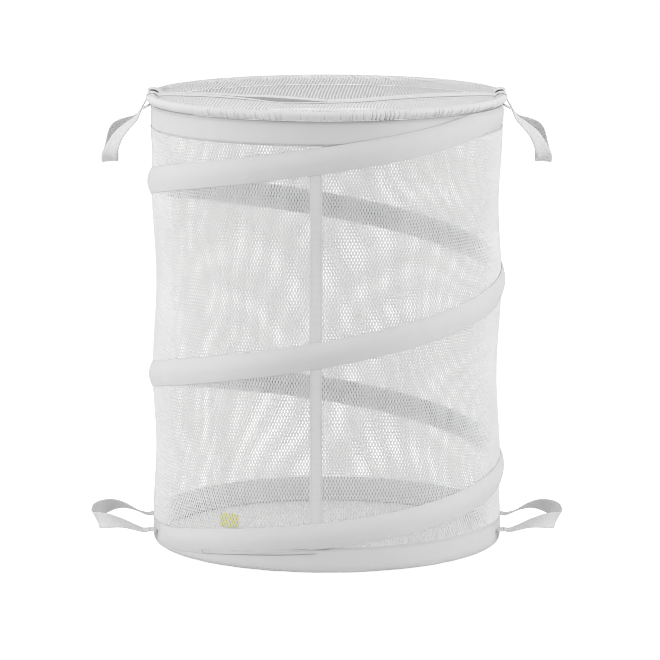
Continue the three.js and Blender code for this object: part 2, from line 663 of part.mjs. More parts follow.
// The rear end of a top loop is the slit tape's end, led over the rim binding.
function rearTabPath() {
  const over = RIM_BINDING_RADIUS + FIT_GAP + STRAP_THICKNESS / 2;
  const rim = new THREE.Vector2(rimRadius - topFoldRadius, rimHeight - topFoldHeight);
  const start = new THREE.Vector2(tapeEnd + FIT_GAP - topFoldRadius, edgeHeight(REAR_EDGE_SHARES, 1) - topFoldHeight);
  const points = [start];
  for (let i = 0; i <= TAB_WRAP_STEPS; i++) {
    const wrapped = (TAB_WRAP_TO_SHARE - TAB_WRAP_FROM_SHARE) * i / TAB_WRAP_STEPS;
    const angle = (TAB_WRAP_FROM_SHARE + wrapped) * Math.PI;
    points.push(new THREE.Vector2(rim.x + over * Math.cos(angle), rim.y + over * Math.sin(angle)));
  }
  return [...points, tabEnd(points[points.length - 1])];
}

// The front end of a top loop comes out from under the rim binding.
function frontTabPath() {
  const start = new THREE.Vector2(
    BODY_RADIUS + FIT_GAP + STRAP_THICKNESS / 2 - topFoldRadius,
    topBandTop - STRAP_THICKNESS - topFoldHeight,
  );
  return [start, tabEnd(start)];
}

// A tab stops short of the fold line, in line with the loop that goes on from there.
function tabEnd(from) {
  return from.clone().normalize().multiplyScalar(STRAP_LEAD + STRAP_FOLD_GAP);
}

// A tab that leaves the base band, its end cut to the band's curve.
function baseTab(side) {
  const end = baseFoldRadius - STRAP_LEAD - STRAP_FOLD_GAP;
  const places = Array.from({ length: TAB_POINTS }, (_, i) => (
    side * BASE_ROOT_SPREAD + STRAP_WIDTH * (i / (TAB_POINTS - 1) - 0.5)));
  const onBand = (y) => Math.sqrt((BODY_RADIUS + FIT_GAP) ** 2 - y ** 2);
  const row = (reach, lift) => places.map((y) => (
    new THREE.Vector3((reach ?? onBand(y)) - baseFoldRadius, y, lift)));
  const lift = STRAP_THICKNESS / 2;
  return shellSolid([null, end].map((reach) => ({ outer: row(reach, lift), inner: row(reach, -lift) })));
}

function addLoops() {
  const topLoop = {
    path: sidePath(TOP_LOOP_PATH_SHARES, TOP_LOOP_REACH, TOP_LOOP_DROP),
    rootSpread: topRootSpread,
    spread: TOP_LOOP_SPREAD,
    turnShare: TOP_LOOP_TURN_SHARE,
    twistShare: TOP_LOOP_TWIST_SHARE,
    cornerShare: 1,
    parting: TOP_LOOP_PARTING,
    leanShare: 0,
  };
  const baseLoop = {
    path: sidePath(BASE_LOOP_PATH_SHARES, BASE_LOOP_REACH, BASE_LOOP_RISE),
    rootSpread: BASE_ROOT_SPREAD,
    spread: BASE_LOOP_SPREAD,
    turnShare: BASE_LOOP_TURN_SHARE,
    twistShare: BASE_LOOP_TWIST_SHARE,
    cornerShare: BASE_LOOP_CORNER_SHARE,
    parting: 0,
    leanShare: BASE_LOOP_LEAN_SHARE,
  };
  for (const isLeft of [true, false]) {
    const side = isLeft ? 'left' : 'right';
    const atTop = [isLeft, topFoldRadius, topFoldHeight];
    const atBase = [isLeft, baseFoldRadius, BASE_FOLD_RISE];
    addSided(`top_${side}_loop`, loopSolid(topLoop), WEBBING_COLOUR, ...atTop);
    addSided(`top_${side}_rear_tab`, tabSolid(rearTabPath(), topRootSpread), WEBBING_COLOUR, ...atTop);
    addSided(`top_${side}_front_tab`, tabSolid(frontTabPath(), -topRootSpread), WEBBING_COLOUR, ...atTop);
    addSided(`base_${side}_loop`, loopSolid(baseLoop), WEBBING_COLOUR, ...atBase);
    addSided(`base_${side}_rear_tab`, baseTab(1), WEBBING_COLOUR, ...atBase);
    addSided(`base_${side}_front_tab`, baseTab(-1), WEBBING_COLOUR, ...atBase);
  }
}

addHoopsAndBindings();
addFloor();
addBand('bottom_band', bottomBandFoot, bottomBandTop);
addBand('top_band', topBandFoot, topBandTop);
addWall();
addSpiral();
addTag();
addFlap(true);
addFlap(false);
addLoops();

export default hamper;
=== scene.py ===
"""A pop up laundry hamper in white net and woven cloth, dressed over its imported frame.

The camera, the lamps and the materials are in metres. The pieces are in millimetres up to
the point where a mesh is made. The front is at -Y, and angles are counted round the body
from the front towards +X.
"""

import math

import bpy
import numpy as np
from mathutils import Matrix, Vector


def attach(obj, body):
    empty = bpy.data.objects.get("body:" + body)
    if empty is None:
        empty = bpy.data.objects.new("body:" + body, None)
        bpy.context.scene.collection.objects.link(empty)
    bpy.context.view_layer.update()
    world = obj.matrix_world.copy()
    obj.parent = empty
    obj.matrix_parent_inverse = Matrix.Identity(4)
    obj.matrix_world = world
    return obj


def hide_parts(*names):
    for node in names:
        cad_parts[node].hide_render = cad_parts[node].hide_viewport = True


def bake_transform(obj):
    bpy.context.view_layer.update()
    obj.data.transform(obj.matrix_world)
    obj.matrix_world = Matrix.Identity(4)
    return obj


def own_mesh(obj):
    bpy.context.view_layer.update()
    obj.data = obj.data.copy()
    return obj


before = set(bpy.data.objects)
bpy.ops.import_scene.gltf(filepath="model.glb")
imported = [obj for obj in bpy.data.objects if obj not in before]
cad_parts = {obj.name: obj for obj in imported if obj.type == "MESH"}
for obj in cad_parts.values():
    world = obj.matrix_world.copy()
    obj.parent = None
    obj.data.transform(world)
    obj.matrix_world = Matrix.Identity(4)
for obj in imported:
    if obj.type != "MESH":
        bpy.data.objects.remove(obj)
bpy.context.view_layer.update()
MM = 0.001
TAU = 2 * math.pi

# Shader nodes


class Nodes:
    """Short ways to add linked shader nodes to one tree."""

    def __init__(self, tree):
        self.tree = tree

    def link(self, source, socket):
        self.tree.links.new(source, socket)

    def add(self, kind, links=None, **settings):
        node = self.tree.nodes.new("ShaderNode" + kind)
        for key, value in settings.items():
            if hasattr(node, key):
                setattr(node, key, value)
            else:
                node.inputs[key.replace("_", " ")].default_value = value
        for key, source in (links or {}).items():
            self.link(source, node.inputs[key])
        return node

    def math(self, operation, *values):
        """One step of arithmetic on numbers and sockets."""
        node = self.add("Math", operation=operation)
        for socket, value in zip(node.inputs, values):
            if isinstance(value, (int, float)):
                socket.default_value = value
            else:
                self.link(value, socket)
        return node.outputs[0]

    def looked_at(self):
        """1 for camera, mirror and clear rays."""
        path = self.add("LightPath")
        total = path.outputs["Is Camera Ray"]
        for name in ("Is Glossy Ray", "Is Transmission Ray"):
            total = self.math("MAXIMUM", total, path.outputs[name])
        return total


def grey(level):
    return (level, level, level)


# Camera and light

CAMERA_AT = Vector((0.0042, -5.091, 1.1073))
CAMERA_DOWN = math.radians(9.328)
LENS = 217.6
SENSOR = 36
SIGHT = 100
WORLD_LIGHT, WORLD_SHOWN = 0.53, 1.0
LAMP_TARGET = (0, 0, 0.3)
# Each lamp's place, its width and height, and its power
LAMPS = {
    "left_softbox": ((-2.8, -0.7, 1.4), (1.6, 2.2), 36),
    "right_softbox": ((2.8, -0.7, 1.4), (1.6, 2.2), 34),
    "top_softbox": ((0.0, -0.6, 3.0), (2.4, 2.4), 26),
}
FLOOR_SIZE, FLOOR_DROP = 60, 0.0005
FLOOR_PLAIN, FLOOR_PALE, FLOOR_GLOW = 0.86, 0.31, 0.85
PIXEL_FILTER = 0.9


def link_object(name, data):
    made = bpy.data.objects.new(name, data)
    bpy.context.collection.objects.link(made)
    return made


def add_camera():
    data = bpy.data.cameras.new("camera")
    data.lens = LENS
    data.sensor_width = SENSOR
    data.clip_end = SIGHT
    camera = link_object("camera", data)
    camera.location = CAMERA_AT
    camera.rotation_euler = (math.pi / 2 - CAMERA_DOWN, 0, 0)
    bpy.context.scene.camera = camera


def add_lamp(name, place, size, power):
    data = bpy.data.lights.new(name, "AREA")
    data.shape = "RECTANGLE"
    data.size, data.size_y = size
    data.energy = power
    lamp = link_object(name, data)
    lamp.location = place
    lamp.rotation_euler = (Vector(LAMP_TARGET) - lamp.location).to_track_quat("-Z", "Y").to_euler()


def add_world():
    """The world lights the object at one level and shows white behind it."""
    world = bpy.data.worlds.new("studio")
    bpy.context.scene.world = world
    world.use_nodes = True
    world.node_tree.nodes.clear()
    look = Nodes(world.node_tree)
    lit = look.add("Background", Color=(*grey(1), 1), Strength=WORLD_LIGHT)
    seen = look.add("Background", Color=(*grey(1), 1), Strength=WORLD_SHOWN)
    mix = look.add("MixShader", {0: look.looked_at(), 1: lit.outputs[0], 2: seen.outputs[0]})
    look.add("OutputWorld", {"Surface": mix.outputs[0]})


def add_floor():
    """A pale floor that shows almost white and keeps the object's shadow."""
    bpy.ops.mesh.primitive_plane_add(size=FLOOR_SIZE, location=(0, 0, -FLOOR_DROP))
    floor = bpy.context.object
    floor.name = "floor"
    made = bpy.data.materials.new("floor")
    made.use_nodes = True
    made.node_tree.nodes.clear()
    look = Nodes(made.node_tree)
    plain = look.add("BsdfDiffuse", Color=(*grey(FLOOR_PLAIN), 1))
    pale = look.add("BsdfDiffuse", Color=(*grey(FLOOR_PALE), 1))
    glow = look.add("Emission", Strength=FLOOR_GLOW)
    both = look.add("AddShader", {0: pale.outputs[0], 1: glow.outputs[0]})
    mix = look.add("MixShader", {0: look.looked_at(), 1: plain.outputs[0], 2: both.outputs[0]})
    look.add("OutputMaterial", {"Surface": mix.outputs[0]})
    floor.data.materials.append(made)


bpy.context.scene.view_settings.view_transform = "Standard"
bpy.context.scene.cycles.filter_width = PIXEL_FILTER
add_camera()
add_world()
for lamp_name, lamp in LAMPS.items():
    add_lamp(lamp_name, *lamp)
add_floor()

# Materials


class Surface(Nodes):
    """A material, worked out on its main shader."""

    def __init__(self, name):
        self.material = bpy.data.materials.new(name)
        self.material.use_nodes = True
        super().__init__(self.material.node_tree)
        self.shader = self.tree.nodes["Principled BSDF"]

    def feed(self, name, source):
        self.link(source, self.shader.inputs[name])

    def set(self, **levels):
        for name, level in levels.items():
            self.shader.inputs[name.replace("_", " ")].default_value = level

    def noise(self, scale, detail, roughness=0.5):
        """Unevenness all through the object, about 0 to 1."""
        where = self.add("TexCoord").outputs["Object"]
        made = self.add("TexNoise", {"Vector": where}, Scale=scale, Detail=detail, Roughness=roughness)
        return made.outputs[0]

    def weighted(self, *terms):
        """A sum of sources, each times its weight."""
        total = 0.0
        for source, weight in terms:
            total = self.math("ADD", total, self.math("MULTIPLY", source, weight))
        return total

    def tint(self, tone, colour, dark, light, start=0.3, end=0.7):
        """The colour times dark up to the tone start, and times light from the tone end on."""
        ramp = self.add("ValToRGB", {0: tone})
        ends = ramp.color_ramp.elements
        for i, (place, factor) in enumerate([(start, dark), (end, light)]):
            ends[i].position = place
            ends[i].color = (*(min(1.0, channel * factor) for channel in colour), 1)
        return ramp.outputs[0]

    def roughen(self, source, lowest, spread):
        self.feed("Roughness", self.math("ADD", self.math("MULTIPLY", source, spread), lowest))

    def bump(self, height, depth, strength):
        made = self.add("Bump", {"Height": height}, Distance=depth, Strength=strength)
        self.feed("Normal", made.outputs[0])

    def lit_through(self, colour, share):
        """Part of the light that falls on the far side comes through."""
        far = self.add("BsdfTranslucent", {"Color": colour})
        mix = self.add("MixShader", {1: self.shader.outputs[0], 2: far.outputs[0]}, Fac=share)
        self.link(mix.outputs[0], self.tree.nodes["Material Output"].inputs["Surface"])


def woven(name, colour, thread=0.0006, twill=False, depth=0.00012, sheen=0.15):
    """Cloth whose threads cross along the weave map, with faint unevenness over it."""
    look = Surface(name)
    split = look.add("SeparateXYZ", {0: look.add("UVMap", uv_map="weave").outputs[0]})
    along = look.math("MULTIPLY", split.outputs[0], math.pi / thread)
    across = look.math("MULTIPLY", split.outputs[1], math.pi / thread)
    if twill:
        across = look.math("ADD", across, look.math("MULTIPLY", along, 0.5))
    warp = look.math("ABSOLUTE", look.math("SINE", along))
    weft = look.math("ABSOLUTE", look.math("SINE", across))
    threads = look.math("MULTIPLY", warp, weft)
    broad = look.noise(9.0, 3.0)
    fine = look.noise(420.0, 2.0, 0.6)
    tone = look.weighted((threads, 0.35), (broad, 0.4), (fine, 0.25))
    look.feed("Base Color", look.tint(tone, colour, 0.93, 1.03, 0.2, 0.8))
    look.roughen(fine, 0.76, 0.12)
    look.bump(look.weighted((threads, 1.0), (broad, 2.0)), depth, 0.6)
    look.set(Sheen_Weight=sheen, Sheen_Roughness=0.4, Specular_IOR_Level=0.3)
    return look.material


def yarn(name, colour, scale=900.0, through=0.0):
    """Knitted or twisted yarn, too fine for separate threads."""
    look = Surface(name)
    broad = look.noise(14.0, 2.0)
    fine = look.noise(scale, 2.0, 0.6)
    tint = look.tint(look.weighted((broad, 0.5), (fine, 0.5)), colour, 0.92, 1.04)
    look.feed("Base Color", tint)
    if through:
        look.lit_through(tint, through)
    look.roughen(fine, 0.67, 0.15)
    look.bump(fine, 0.0001, 0.4)
    look.set(Sheen_Weight=0.05, Specular_IOR_Level=0.2)
    return look.material


def steel(name, colour, rough):
    look = Surface(name)
    look.feed("Base Color", look.tint(look.noise(30.0, 2.0), colour, 0.85, 1.1))
    look.roughen(look.noise(600.0, 3.0), rough, 0.25)
    look.set(Metallic=1.0)
    return look.material


def moulded(name, colour):
    look = Surface(name)
    fine = look.noise(300.0, 2.0)
    look.feed("Base Color", look.tint(fine, colour, 0.94, 1.03))
    look.roughen(fine, 0.4, 0.2)
    return look.material


WHITE = (0.72, 0.72, 0.722)
NET = yarn("net_yarn", grey(0.95), through=0.35)
# Painted shade: the lid's net is the wall's yarn painted darker, as the light from above falls strongest on
# the lid
LID_NET_SHADED = yarn("lid_net_painted_shade_yarn", grey(0.74))
BAND = woven("band_weave", WHITE)
# Painted shade: the top band's inner faces get a darker copy of the band cloth, for the shade inside the
# hamper
BAND_INSIDE_SHADE = woven("band_inside_painted_shade_weave", grey(0.68))
# Painted light: the inner faces of the sleeve and the bottom band get a grey lighter than the outer cloth,
# for the light that they show through the net
SLEEVE_INSIDE_LIT = woven("sleeve_inside_painted_light_weave", grey(0.77))
BINDING = woven("binding_weave", (0.745, 0.745, 0.748), twill=True)
# Painted shade: a darker copy of the binding cloth for the faces deep in its pinches, for the shade in the
# folds
BINDING_FOLD_SHADE = woven("binding_fold_painted_shade_weave", grey(0.58), twill=True)
FLOOR = woven("floor_weave", grey(0.95), thread=0.0007)
SLEEVE = woven("sleeve_weave", WHITE)
SEAM = woven("seam_weave", (0.75, 0.75, 0.752), thread=0.0011, depth=0.0002)
WEBBING = woven("webbing_weave", (0.73, 0.73, 0.733), thread=0.0016, twill=True, depth=0.0003, sheen=0.2)
THREAD = yarn("sewing_thread", (0.66, 0.66, 0.665), scale=1500.0)
# Dark thread for the hem and the rim seam, and painted shade for the dots on the piping
DARK_THREAD_AND_SHADE = yarn("dark_thread_and_painted_shade", grey(0.4), scale=1500.0)
TAG = woven("tag_weave", (0.83, 0.81, 0.24), thread=0.0005)
SPRING = steel("drawn_steel", (0.55, 0.55, 0.57), rough=0.2)
CRIMP = steel("crimped_steel", (0.62, 0.62, 0.64), rough=0.25)
CAP = moulded("cap_plastic", grey(0.82))

# Mesh helpers

UP = (0.0, 0.0, 1.0)
TINY = 1e-6
MAP_EDGE = 0.01
CREST_SHARE = 0.45  # the highest crest of a sum of waves, as a share of all their sizes


def make(name, places, quads, materials, weave=None, picks=None):
    """A mesh object from points in millimetres and four sided faces, which pick their materials."""
    mesh = bpy.data.meshes.new(name)
    quads = np.asarray(quads, np.int32)
    mesh.vertices.add(len(places))
    mesh.vertices.foreach_set("co", (places * MM).ravel())
    mesh.loops.add(quads.size)
    mesh.loops.foreach_set("vertex_index", quads.ravel())
    mesh.polygons.add(len(quads))
    mesh.polygons.foreach_set("loop_start", np.arange(0, quads.size, 4, dtype=np.int32))
    mesh.polygons.foreach_set("loop_total", np.full(len(quads), 4, np.int32))
    if weave is not None:
        layer = mesh.uv_layers.new(name="weave")
        layer.data.foreach_set("uv", (weave[quads.ravel()] * MM).ravel())
    mesh.update(calc_edges=True)
    mesh.validate()
    mesh.polygons.foreach_set("use_smooth", np.full(len(mesh.polygons), True))
    for each in materials:
        mesh.materials.append(each)
    if picks is not None:
        mesh.polygons.foreach_set("material_index", np.asarray(picks, np.int32))
    return link_object(name, mesh)


def grid_quads(n, m, around=False, across=False, first=0):
    """Faces between n rows of m points, each optionally closed on itself."""
    i = np.arange(n if around else n - 1)[:, None]
    j = np.arange(m if across else m - 1)[None, :]
    i2, j2 = (i + 1) % n, (j + 1) % m
    quads = np.stack([i * m + j, i2 * m + j, i2 * m + j2, i * m + j2], -1)
    return quads.reshape(-1, 4) + first


def shell(outer, inner, around=False):
    """A closed skin over two grids of points, facing out, with the outer grid's faces first."""
    n, m = outer.shape[:2]
    places = np.concatenate([outer.reshape(-1, 3), inner.reshape(-1, 3)])
    quads = [grid_quads(n, m, around), grid_quads(n, m, around, first=n * m)[:, ::-1]]
    rows = np.arange(n if around else n - 1)
    after = (rows + 1) % n
    for j, turned in ((0, False), (m - 1, True)):
        a, b = rows * m + j, after * m + j
        edge = np.stack([a, a + n * m, b + n * m, b], -1)
        quads.append(edge[:, ::-1] if turned else edge)
    if not around:
        for i, turned in ((0, False), (n - 1, True)):
            j = np.arange(m - 1)
            a, b = i * m + j, i * m + j + 1
            edge = np.stack([a, b, b + n * m, a + n * m], -1)
            quads.append(edge[:, ::-1] if turned else edge)
    return places, np.concatenate(quads)


def weave_map(along, across, skins=1):
    """Where each point of a grid lies on its cloth, for each skin of the cloth."""
    spots = np.stack(np.broadcast_arrays(along, across), -1).reshape(-1, 2)
    return np.tile(spots, (skins, 1))


def own_map(piece, spots):
    """A plain layout of the piece's surface for its baked colours, from shares of its sides."""
    mesh = piece.data
    layer = mesh.uv_layers.new(name="OFBake")
    index = np.empty(len(mesh.loops), np.int32)
    mesh.loops.foreach_get("vertex_index", index)
    spots = MAP_EDGE + (1 - 2 * MAP_EDGE) * np.clip(spots, 0, 1)
    layer.data.foreach_set("uv", spots[index].ravel())


def on_ring(angle, radius, height):
    """Points round the body, in millimetres."""
    angle, radius, height = np.broadcast_arrays(angle, radius, height)
    return np.stack([radius * np.sin(angle), -radius * np.cos(angle), height], -1)


def outward(angle):
    return on_ring(angle, 1, 0)


def unit(vectors):
    return vectors / np.maximum(np.linalg.norm(vectors, axis=-1, keepdims=True), TINY)


def squared(vectors, runs):
    """The vectors turned square to the unit runs that they belong to."""
    return unit(vectors - runs * (vectors * runs).sum(-1, keepdims=True))


def lengths(points):
    """How far along a line each of its points lies."""
    return np.concatenate([[0], np.cumsum(np.linalg.norm(np.diff(points, axis=0), axis=1))])


def smooth_line(knots, place):
    """A smooth line through knots, a row each, at places counted in knots from the first."""
    last = len(knots) - 1
    knot = np.minimum(place.astype(int), last - 1)
    a, b, c, d = (knots[np.clip(knot + k, 0, last)] for k in (-1, 0, 1, 2))
    t, leave, arrive = (place - knot)[:, None], (c - a) / 2, (d - b) / 2
    bend = (2 * b - 2 * c + leave + arrive) * t**3 + (-3 * b + 3 * c - 2 * leave - arrive) * t**2
    return bend + leave * t + b


def ripples(seed, count, lowest, highest):
    """A smooth uneven wave round the body, about -1 to 1, that closes on itself."""
    rng = np.random.default_rng(seed)
    orders = rng.integers(lowest, highest, count)
    phases = rng.uniform(0, TAU, count)
    sizes = rng.uniform(0.4, 1.0, count) / np.sqrt(orders)
    sizes /= sizes.sum() * CREST_SHARE

    def wave(angle):
        return sum(s * np.sin(o * angle + p) for s, o, p in zip(sizes, orders, phases))

    return wave


def smoothstep(x):
    x = np.clip(x, 0, 1)
    return x * x * (3 - 2 * x)


def dress(piece, body, slot, *nodes, press=None):
    """Dresses nodes in a piece and puts it on its body. A press is a foot and the share left; a piece given
    one only gets its own mesh here.
    """
    if nodes:
        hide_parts(*nodes)
    if body:
        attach(piece, body)
    if press:
        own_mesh(piece)


# Sizes shared with the CAD

BODY, HEIGHT = 225.0, 580.0
FIT_GAP = 0.3
TURN_STEPS = 48
STEP = TAU / TURN_STEPS
RIM_TUBE, RIM_OVERHANG = 6.5, 5.0
RIM_RING, RIM_LEVEL = BODY + RIM_OVERHANG - RIM_TUBE, HEIGHT - RIM_TUBE
PIPING_TUBE, PIPING_FLAT = 4.5, 0.5
PIPING_RING, PIPING_LEVEL = BODY - PIPING_TUBE, PIPING_TUBE - PIPING_FLAT
TOP_BAND_TOP, TOP_BAND_WIDTH = 566.71, 31
BOTTOM_BAND_FOOT, BOTTOM_BAND_WIDTH = 7.49, 25
TOP_BAND = (TOP_BAND_TOP - TOP_BAND_WIDTH, TOP_BAND_TOP)
BOTTOM_BAND = (BOTTOM_BAND_FOOT, BOTTOM_BAND_FOOT + BOTTOM_BAND_WIDTH)
WALL = (BOTTOM_BAND[1] + FIT_GAP, TOP_BAND[0] - FIT_GAP)
WALL_TALL = WALL[1] - WALL[0]
WALL_INSET, WAIST_DEPTH = 0.8, 5.0
SPIRAL_START = 10 * STEP
SPIRAL_STEPS = 114
SPIRAL_TOP, SPIRAL_FOOT = HEIGHT - 20, 23.0
# How far the wire has fallen at even places along it
SPIRAL_FALL_SHARES = [
    0, 0.045, 0.0925, 0.1425, 0.195, 0.251, 0.309, 0.368, 0.4275, 0.487,
    0.546, 0.605, 0.6635, 0.721, 0.776, 0.829, 0.8795, 0.9255, 0.9655, 1,
]
SLEEVE_HALF = 16.5
STRAP_HALF = 10.0
# The foot that each is pressed down to with the hamper, and the share left of its height
WALL_PRESS, SPIRAL_PRESS = (WALL[0], 0.025), (SPIRAL_FOOT, 0.0912)


def spiral_table():
    """The spiral's height after each step of its run, from the top down."""
    falls = np.array(SPIRAL_FALL_SHARES)[:, None]
    place = np.arange(SPIRAL_STEPS + 1) / SPIRAL_STEPS * (len(falls) - 1)
    return SPIRAL_TOP - (SPIRAL_TOP - SPIRAL_FOOT) * smooth_line(falls, place)[:, 0]


SPIRAL = spiral_table()


def spiral_height(along):
    return np.interp(along, np.arange(SPIRAL_STEPS + 1), SPIRAL)


def crossings(angle):
    """Heights of the spiral's turns at each angle, nan where a turn has ended."""
    turns = []
    for k in range(-1, 4):
        along = (SPIRAL_START - angle) / STEP + TURN_STEPS * k
        inside = (along >= 0) & (along <= SPIRAL_STEPS)
        turns.append(np.where(inside, spiral_height(along), np.nan))
    return np.stack(turns)


def wall_radius(angle, height):
    """The net is held out by the bands and the spiral, and draws in between them."""
    held = crossings(angle % TAU)
    low = np.nanmax(np.where(held <= height, held, WALL[0]), axis=0)
    low = np.maximum(low, WALL[0])
    high = np.nanmin(np.where(held > height, held, WALL[1]), axis=0)
    high = np.minimum(high, WALL[1])
    span = np.maximum(high - low, 1)
    share = np.clip((height - low) / span, 0, 1)
    turn_rise = TURN_STEPS * (SPIRAL_TOP - SPIRAL_FOOT) / SPIRAL_STEPS
    return BODY - WALL_INSET - WAIST_DEPTH * np.sin(math.pi * share) ** 2 * span / turn_rise


# Net

NET_PITCH, NET_RISE = 4.2, 4.15
NET_PEAK = 3.2  # from the middle of a cell up to its upper corner
HOLE_HALF, HOLE_SIDE, HOLE_PEAK = 1.07, 0.5, 2.78
HOLE_SIZE_SHARES = (0.93, 1.07)
HOLE_STRAY = 0.05
# Corners of a cell: half pitches across, rows up, and 1 for the lower peak that is found there
CELL_CORNERS = [(0, 0, 0), (-1, 1, 1), (-1, -1, 0), (0, 0, 1), (1, -1, 0), (1, 1, 1)]
WALL_COLUMNS, WALL_ROWS = 336, 122
WALL_SECTORS = 4
SWAY_TURN, BOW_TURN = 0.006, 0.004
BOW_RISE, SWAY_OUT = 1.3, 0.5


def net_holes(u, v, pitch, seed, hole):
    """The rims of the holes round the cells' middles, each a little off its place and size."""
    rng = np.random.default_rng(seed)
    share = rng.uniform(*HOLE_SIZE_SHARES, (len(u), 1, 1))
    middle = np.stack([u, v], -1)[:, None, :] + rng.normal(0, HOLE_STRAY, (len(u), 1, 2))
    half, side, peak = np.array([HOLE_HALF * pitch / NET_PITCH, HOLE_SIDE, HOLE_PEAK]) * hole
    shape = [(0, peak), (-half, side), (-half, -side), (0, -peak), (half, -side), (half, side)]
    return (middle + share * np.array(shape)).reshape(-1, 2)


def net_layout(columns, rows, pitch, keep, seed, closed=False, ridge_lift=1.0, hole=1.0):
    """A flat net of six sided cells: points (u, v, lift), and faces that face +lift.

    keep picks the cells by their middles, and a closed net joins up with itself along u.
    """
    row, column = np.mgrid[0:rows, 0:columns]
    k = 2 * column + row % 2
    u, v = k * pitch / 2, (row + 0.5) * NET_RISE
    chosen = keep(u, v)
    k, row, u, v = k[chosen], row[chosen], u[chosen], v[chosen]
    wide = 2 * columns if closed else 2 * columns + 4
    ids, spots = [], []
    for across, up, low in CELL_CORNERS:
        kk, jj = k + across, row + up
        place = (kk % wide) if closed else (kk + 2)
        ids.append(((jj + 1) * wide + place) * 2 + low)
        peak = -NET_PEAK if low else NET_PEAK
        spots.append(np.stack([kk * pitch / 2, (jj + 0.5) * NET_RISE + peak], -1))
    ids, spots = np.stack(ids, 1), np.stack(spots, 1)
    _, first, back = np.unique(ids.ravel(), return_index=True, return_inverse=True)
    ridge_ids = back.reshape(ids.shape)
    ridge = spots.reshape(-1, 2)[first]
    holes = net_holes(u, v, pitch, seed, hole)
    hole_ids = len(ridge) + np.arange(len(holes)).reshape(-1, 6)
    lift = np.concatenate([np.full(len(ridge), ridge_lift), np.zeros(len(holes))])
    corner = np.arange(6)
    after = (corner + 1) % 6
    sides = [ridge_ids[:, corner], ridge_ids[:, after], hole_ids[:, after], hole_ids[:, corner]]
    return np.column_stack([np.concatenate([ridge, holes]), lift]), np.stack(sides, -1).reshape(-1, 4)


def add_wall_net():
    """The wall's net in four quarters. Its waves drift on their way up, so that none repeats."""
    pitch = TAU * BODY / WALL_COLUMNS
    total = WALL_COLUMNS * pitch
    foot = (WALL[0] + WALL[1] - WALL_ROWS * NET_RISE) / 2
    sway, bow = ripples(3, 16, 2, 14), ripples(4, 16, 2, 12)
    for sector in range(WALL_SECTORS):
        low, high = total * sector / WALL_SECTORS, total * (sector + 1) / WALL_SECTORS

        def keep(u, v):
            return (u % total >= low) & (u % total < high)

        flat, quads = net_layout(WALL_COLUMNS, WALL_ROWS, pitch, keep, 10 + sector, closed=True)
        angle, height = flat[:, 0] / BODY, flat[:, 1] + foot
        share = (height - WALL[0]) / WALL_TALL
        free = np.sin(math.pi * np.clip(share, 0, 1))
        turned = angle + (SWAY_TURN * sway(angle + 2.1 * share) + BOW_TURN * bow(3 * share + angle)) * free
        raised = height + BOW_RISE * bow(angle + 1.7 * share) * free
        radius = wall_radius(turned, raised) + SWAY_OUT * sway(2 * angle + share) * free
        piece = make(f"wall_net_{sector + 1}", on_ring(turned, radius + flat[:, 2], raised), quads, [NET])
        own_map(piece, np.column_stack([(flat[:, 0] - low) / (high - low), share]))
        dress(piece, "base", "net_cloth", "mesh_wall", press=WALL_PRESS)


# Stitching

STITCH_HALF, STITCH_HEIGHT = 1.3, 0.32
STITCH_SIDE_SHARE = 0.275  # half a stitch's width, as a share of its half length
RING_SPACING, SEAM_SPACING = 3.6, 3.8
# A stitch's corners: shares of its half length, its half width and its height
STITCH_SHARES = [
    (-1, 0, 0), (-0.7, 1, 0.6), (0.7, 1, 0.6), (1, 0, 0),
    (0.7, -1, 0.6), (-0.7, -1, 0.6), (-0.5, 0, 1), (0.5, 0, 1),
]
STITCH_FACES = [(0, 6, 1), (1, 6, 7, 2), (2, 7, 3), (3, 7, 4), (4, 7, 6, 5), (5, 6, 0)]


def sew(name, rows, half_length=STITCH_HALF, thread=THREAD):
    """One mesh of stitches for several rows of (middles, runs, outs)."""
    middles, runs, outs = (np.concatenate(part) for part in zip(*rows))
    runs = unit(runs)
    outs = squared(outs, runs)
    runs = runs * half_length
    sides = np.cross(outs, runs) * STITCH_SIDE_SHARE
    corners = [
        middles + runs * run + sides * side + outs * STITCH_HEIGHT * out
        for run, side, out in STITCH_SHARES
    ]
    places = np.stack(corners, 1).reshape(-1, 3)
    faces = []
    for face in STITCH_FACES:
        faces += [[corner + len(corners) * i for corner in face] for i in range(len(middles))]
    mesh = bpy.data.meshes.new(name)
    mesh.from_pydata((places * MM).tolist(), [], faces)
    mesh.polygons.foreach_set("use_smooth", np.full(len(mesh.polygons), True))
    mesh.materials.append(thread)
    return link_object(name, mesh)


def ring_stitches(radius, height, spacing=RING_SPACING, start=0.0, end=TAU):
    """A row of stitches round the body."""
    count = int(round(abs(end - start) * radius / spacing))
    angle = start + (end - start) * (np.arange(count) + 0.5) / count
    return on_ring(angle, radius, height), outward(angle + math.pi / 2), outward(angle)


# Bands, bindings and floor

BAND_STEPS = 480
TOP_BAND_RING, TOP_BAND_SWELL = BODY - 0.6, 0.5
# The bottom band from its foot, under the piping, up: out from the body, and height
BOTTOM_PROFILE = [
    (-4.0, 0.9), (-2.1, 1.0), (-0.7, 3), (0.1, 6), (0.4, 10), (0.3, 16), (0.2, 22), (0.2, 28), (0.1, 32.5),
]
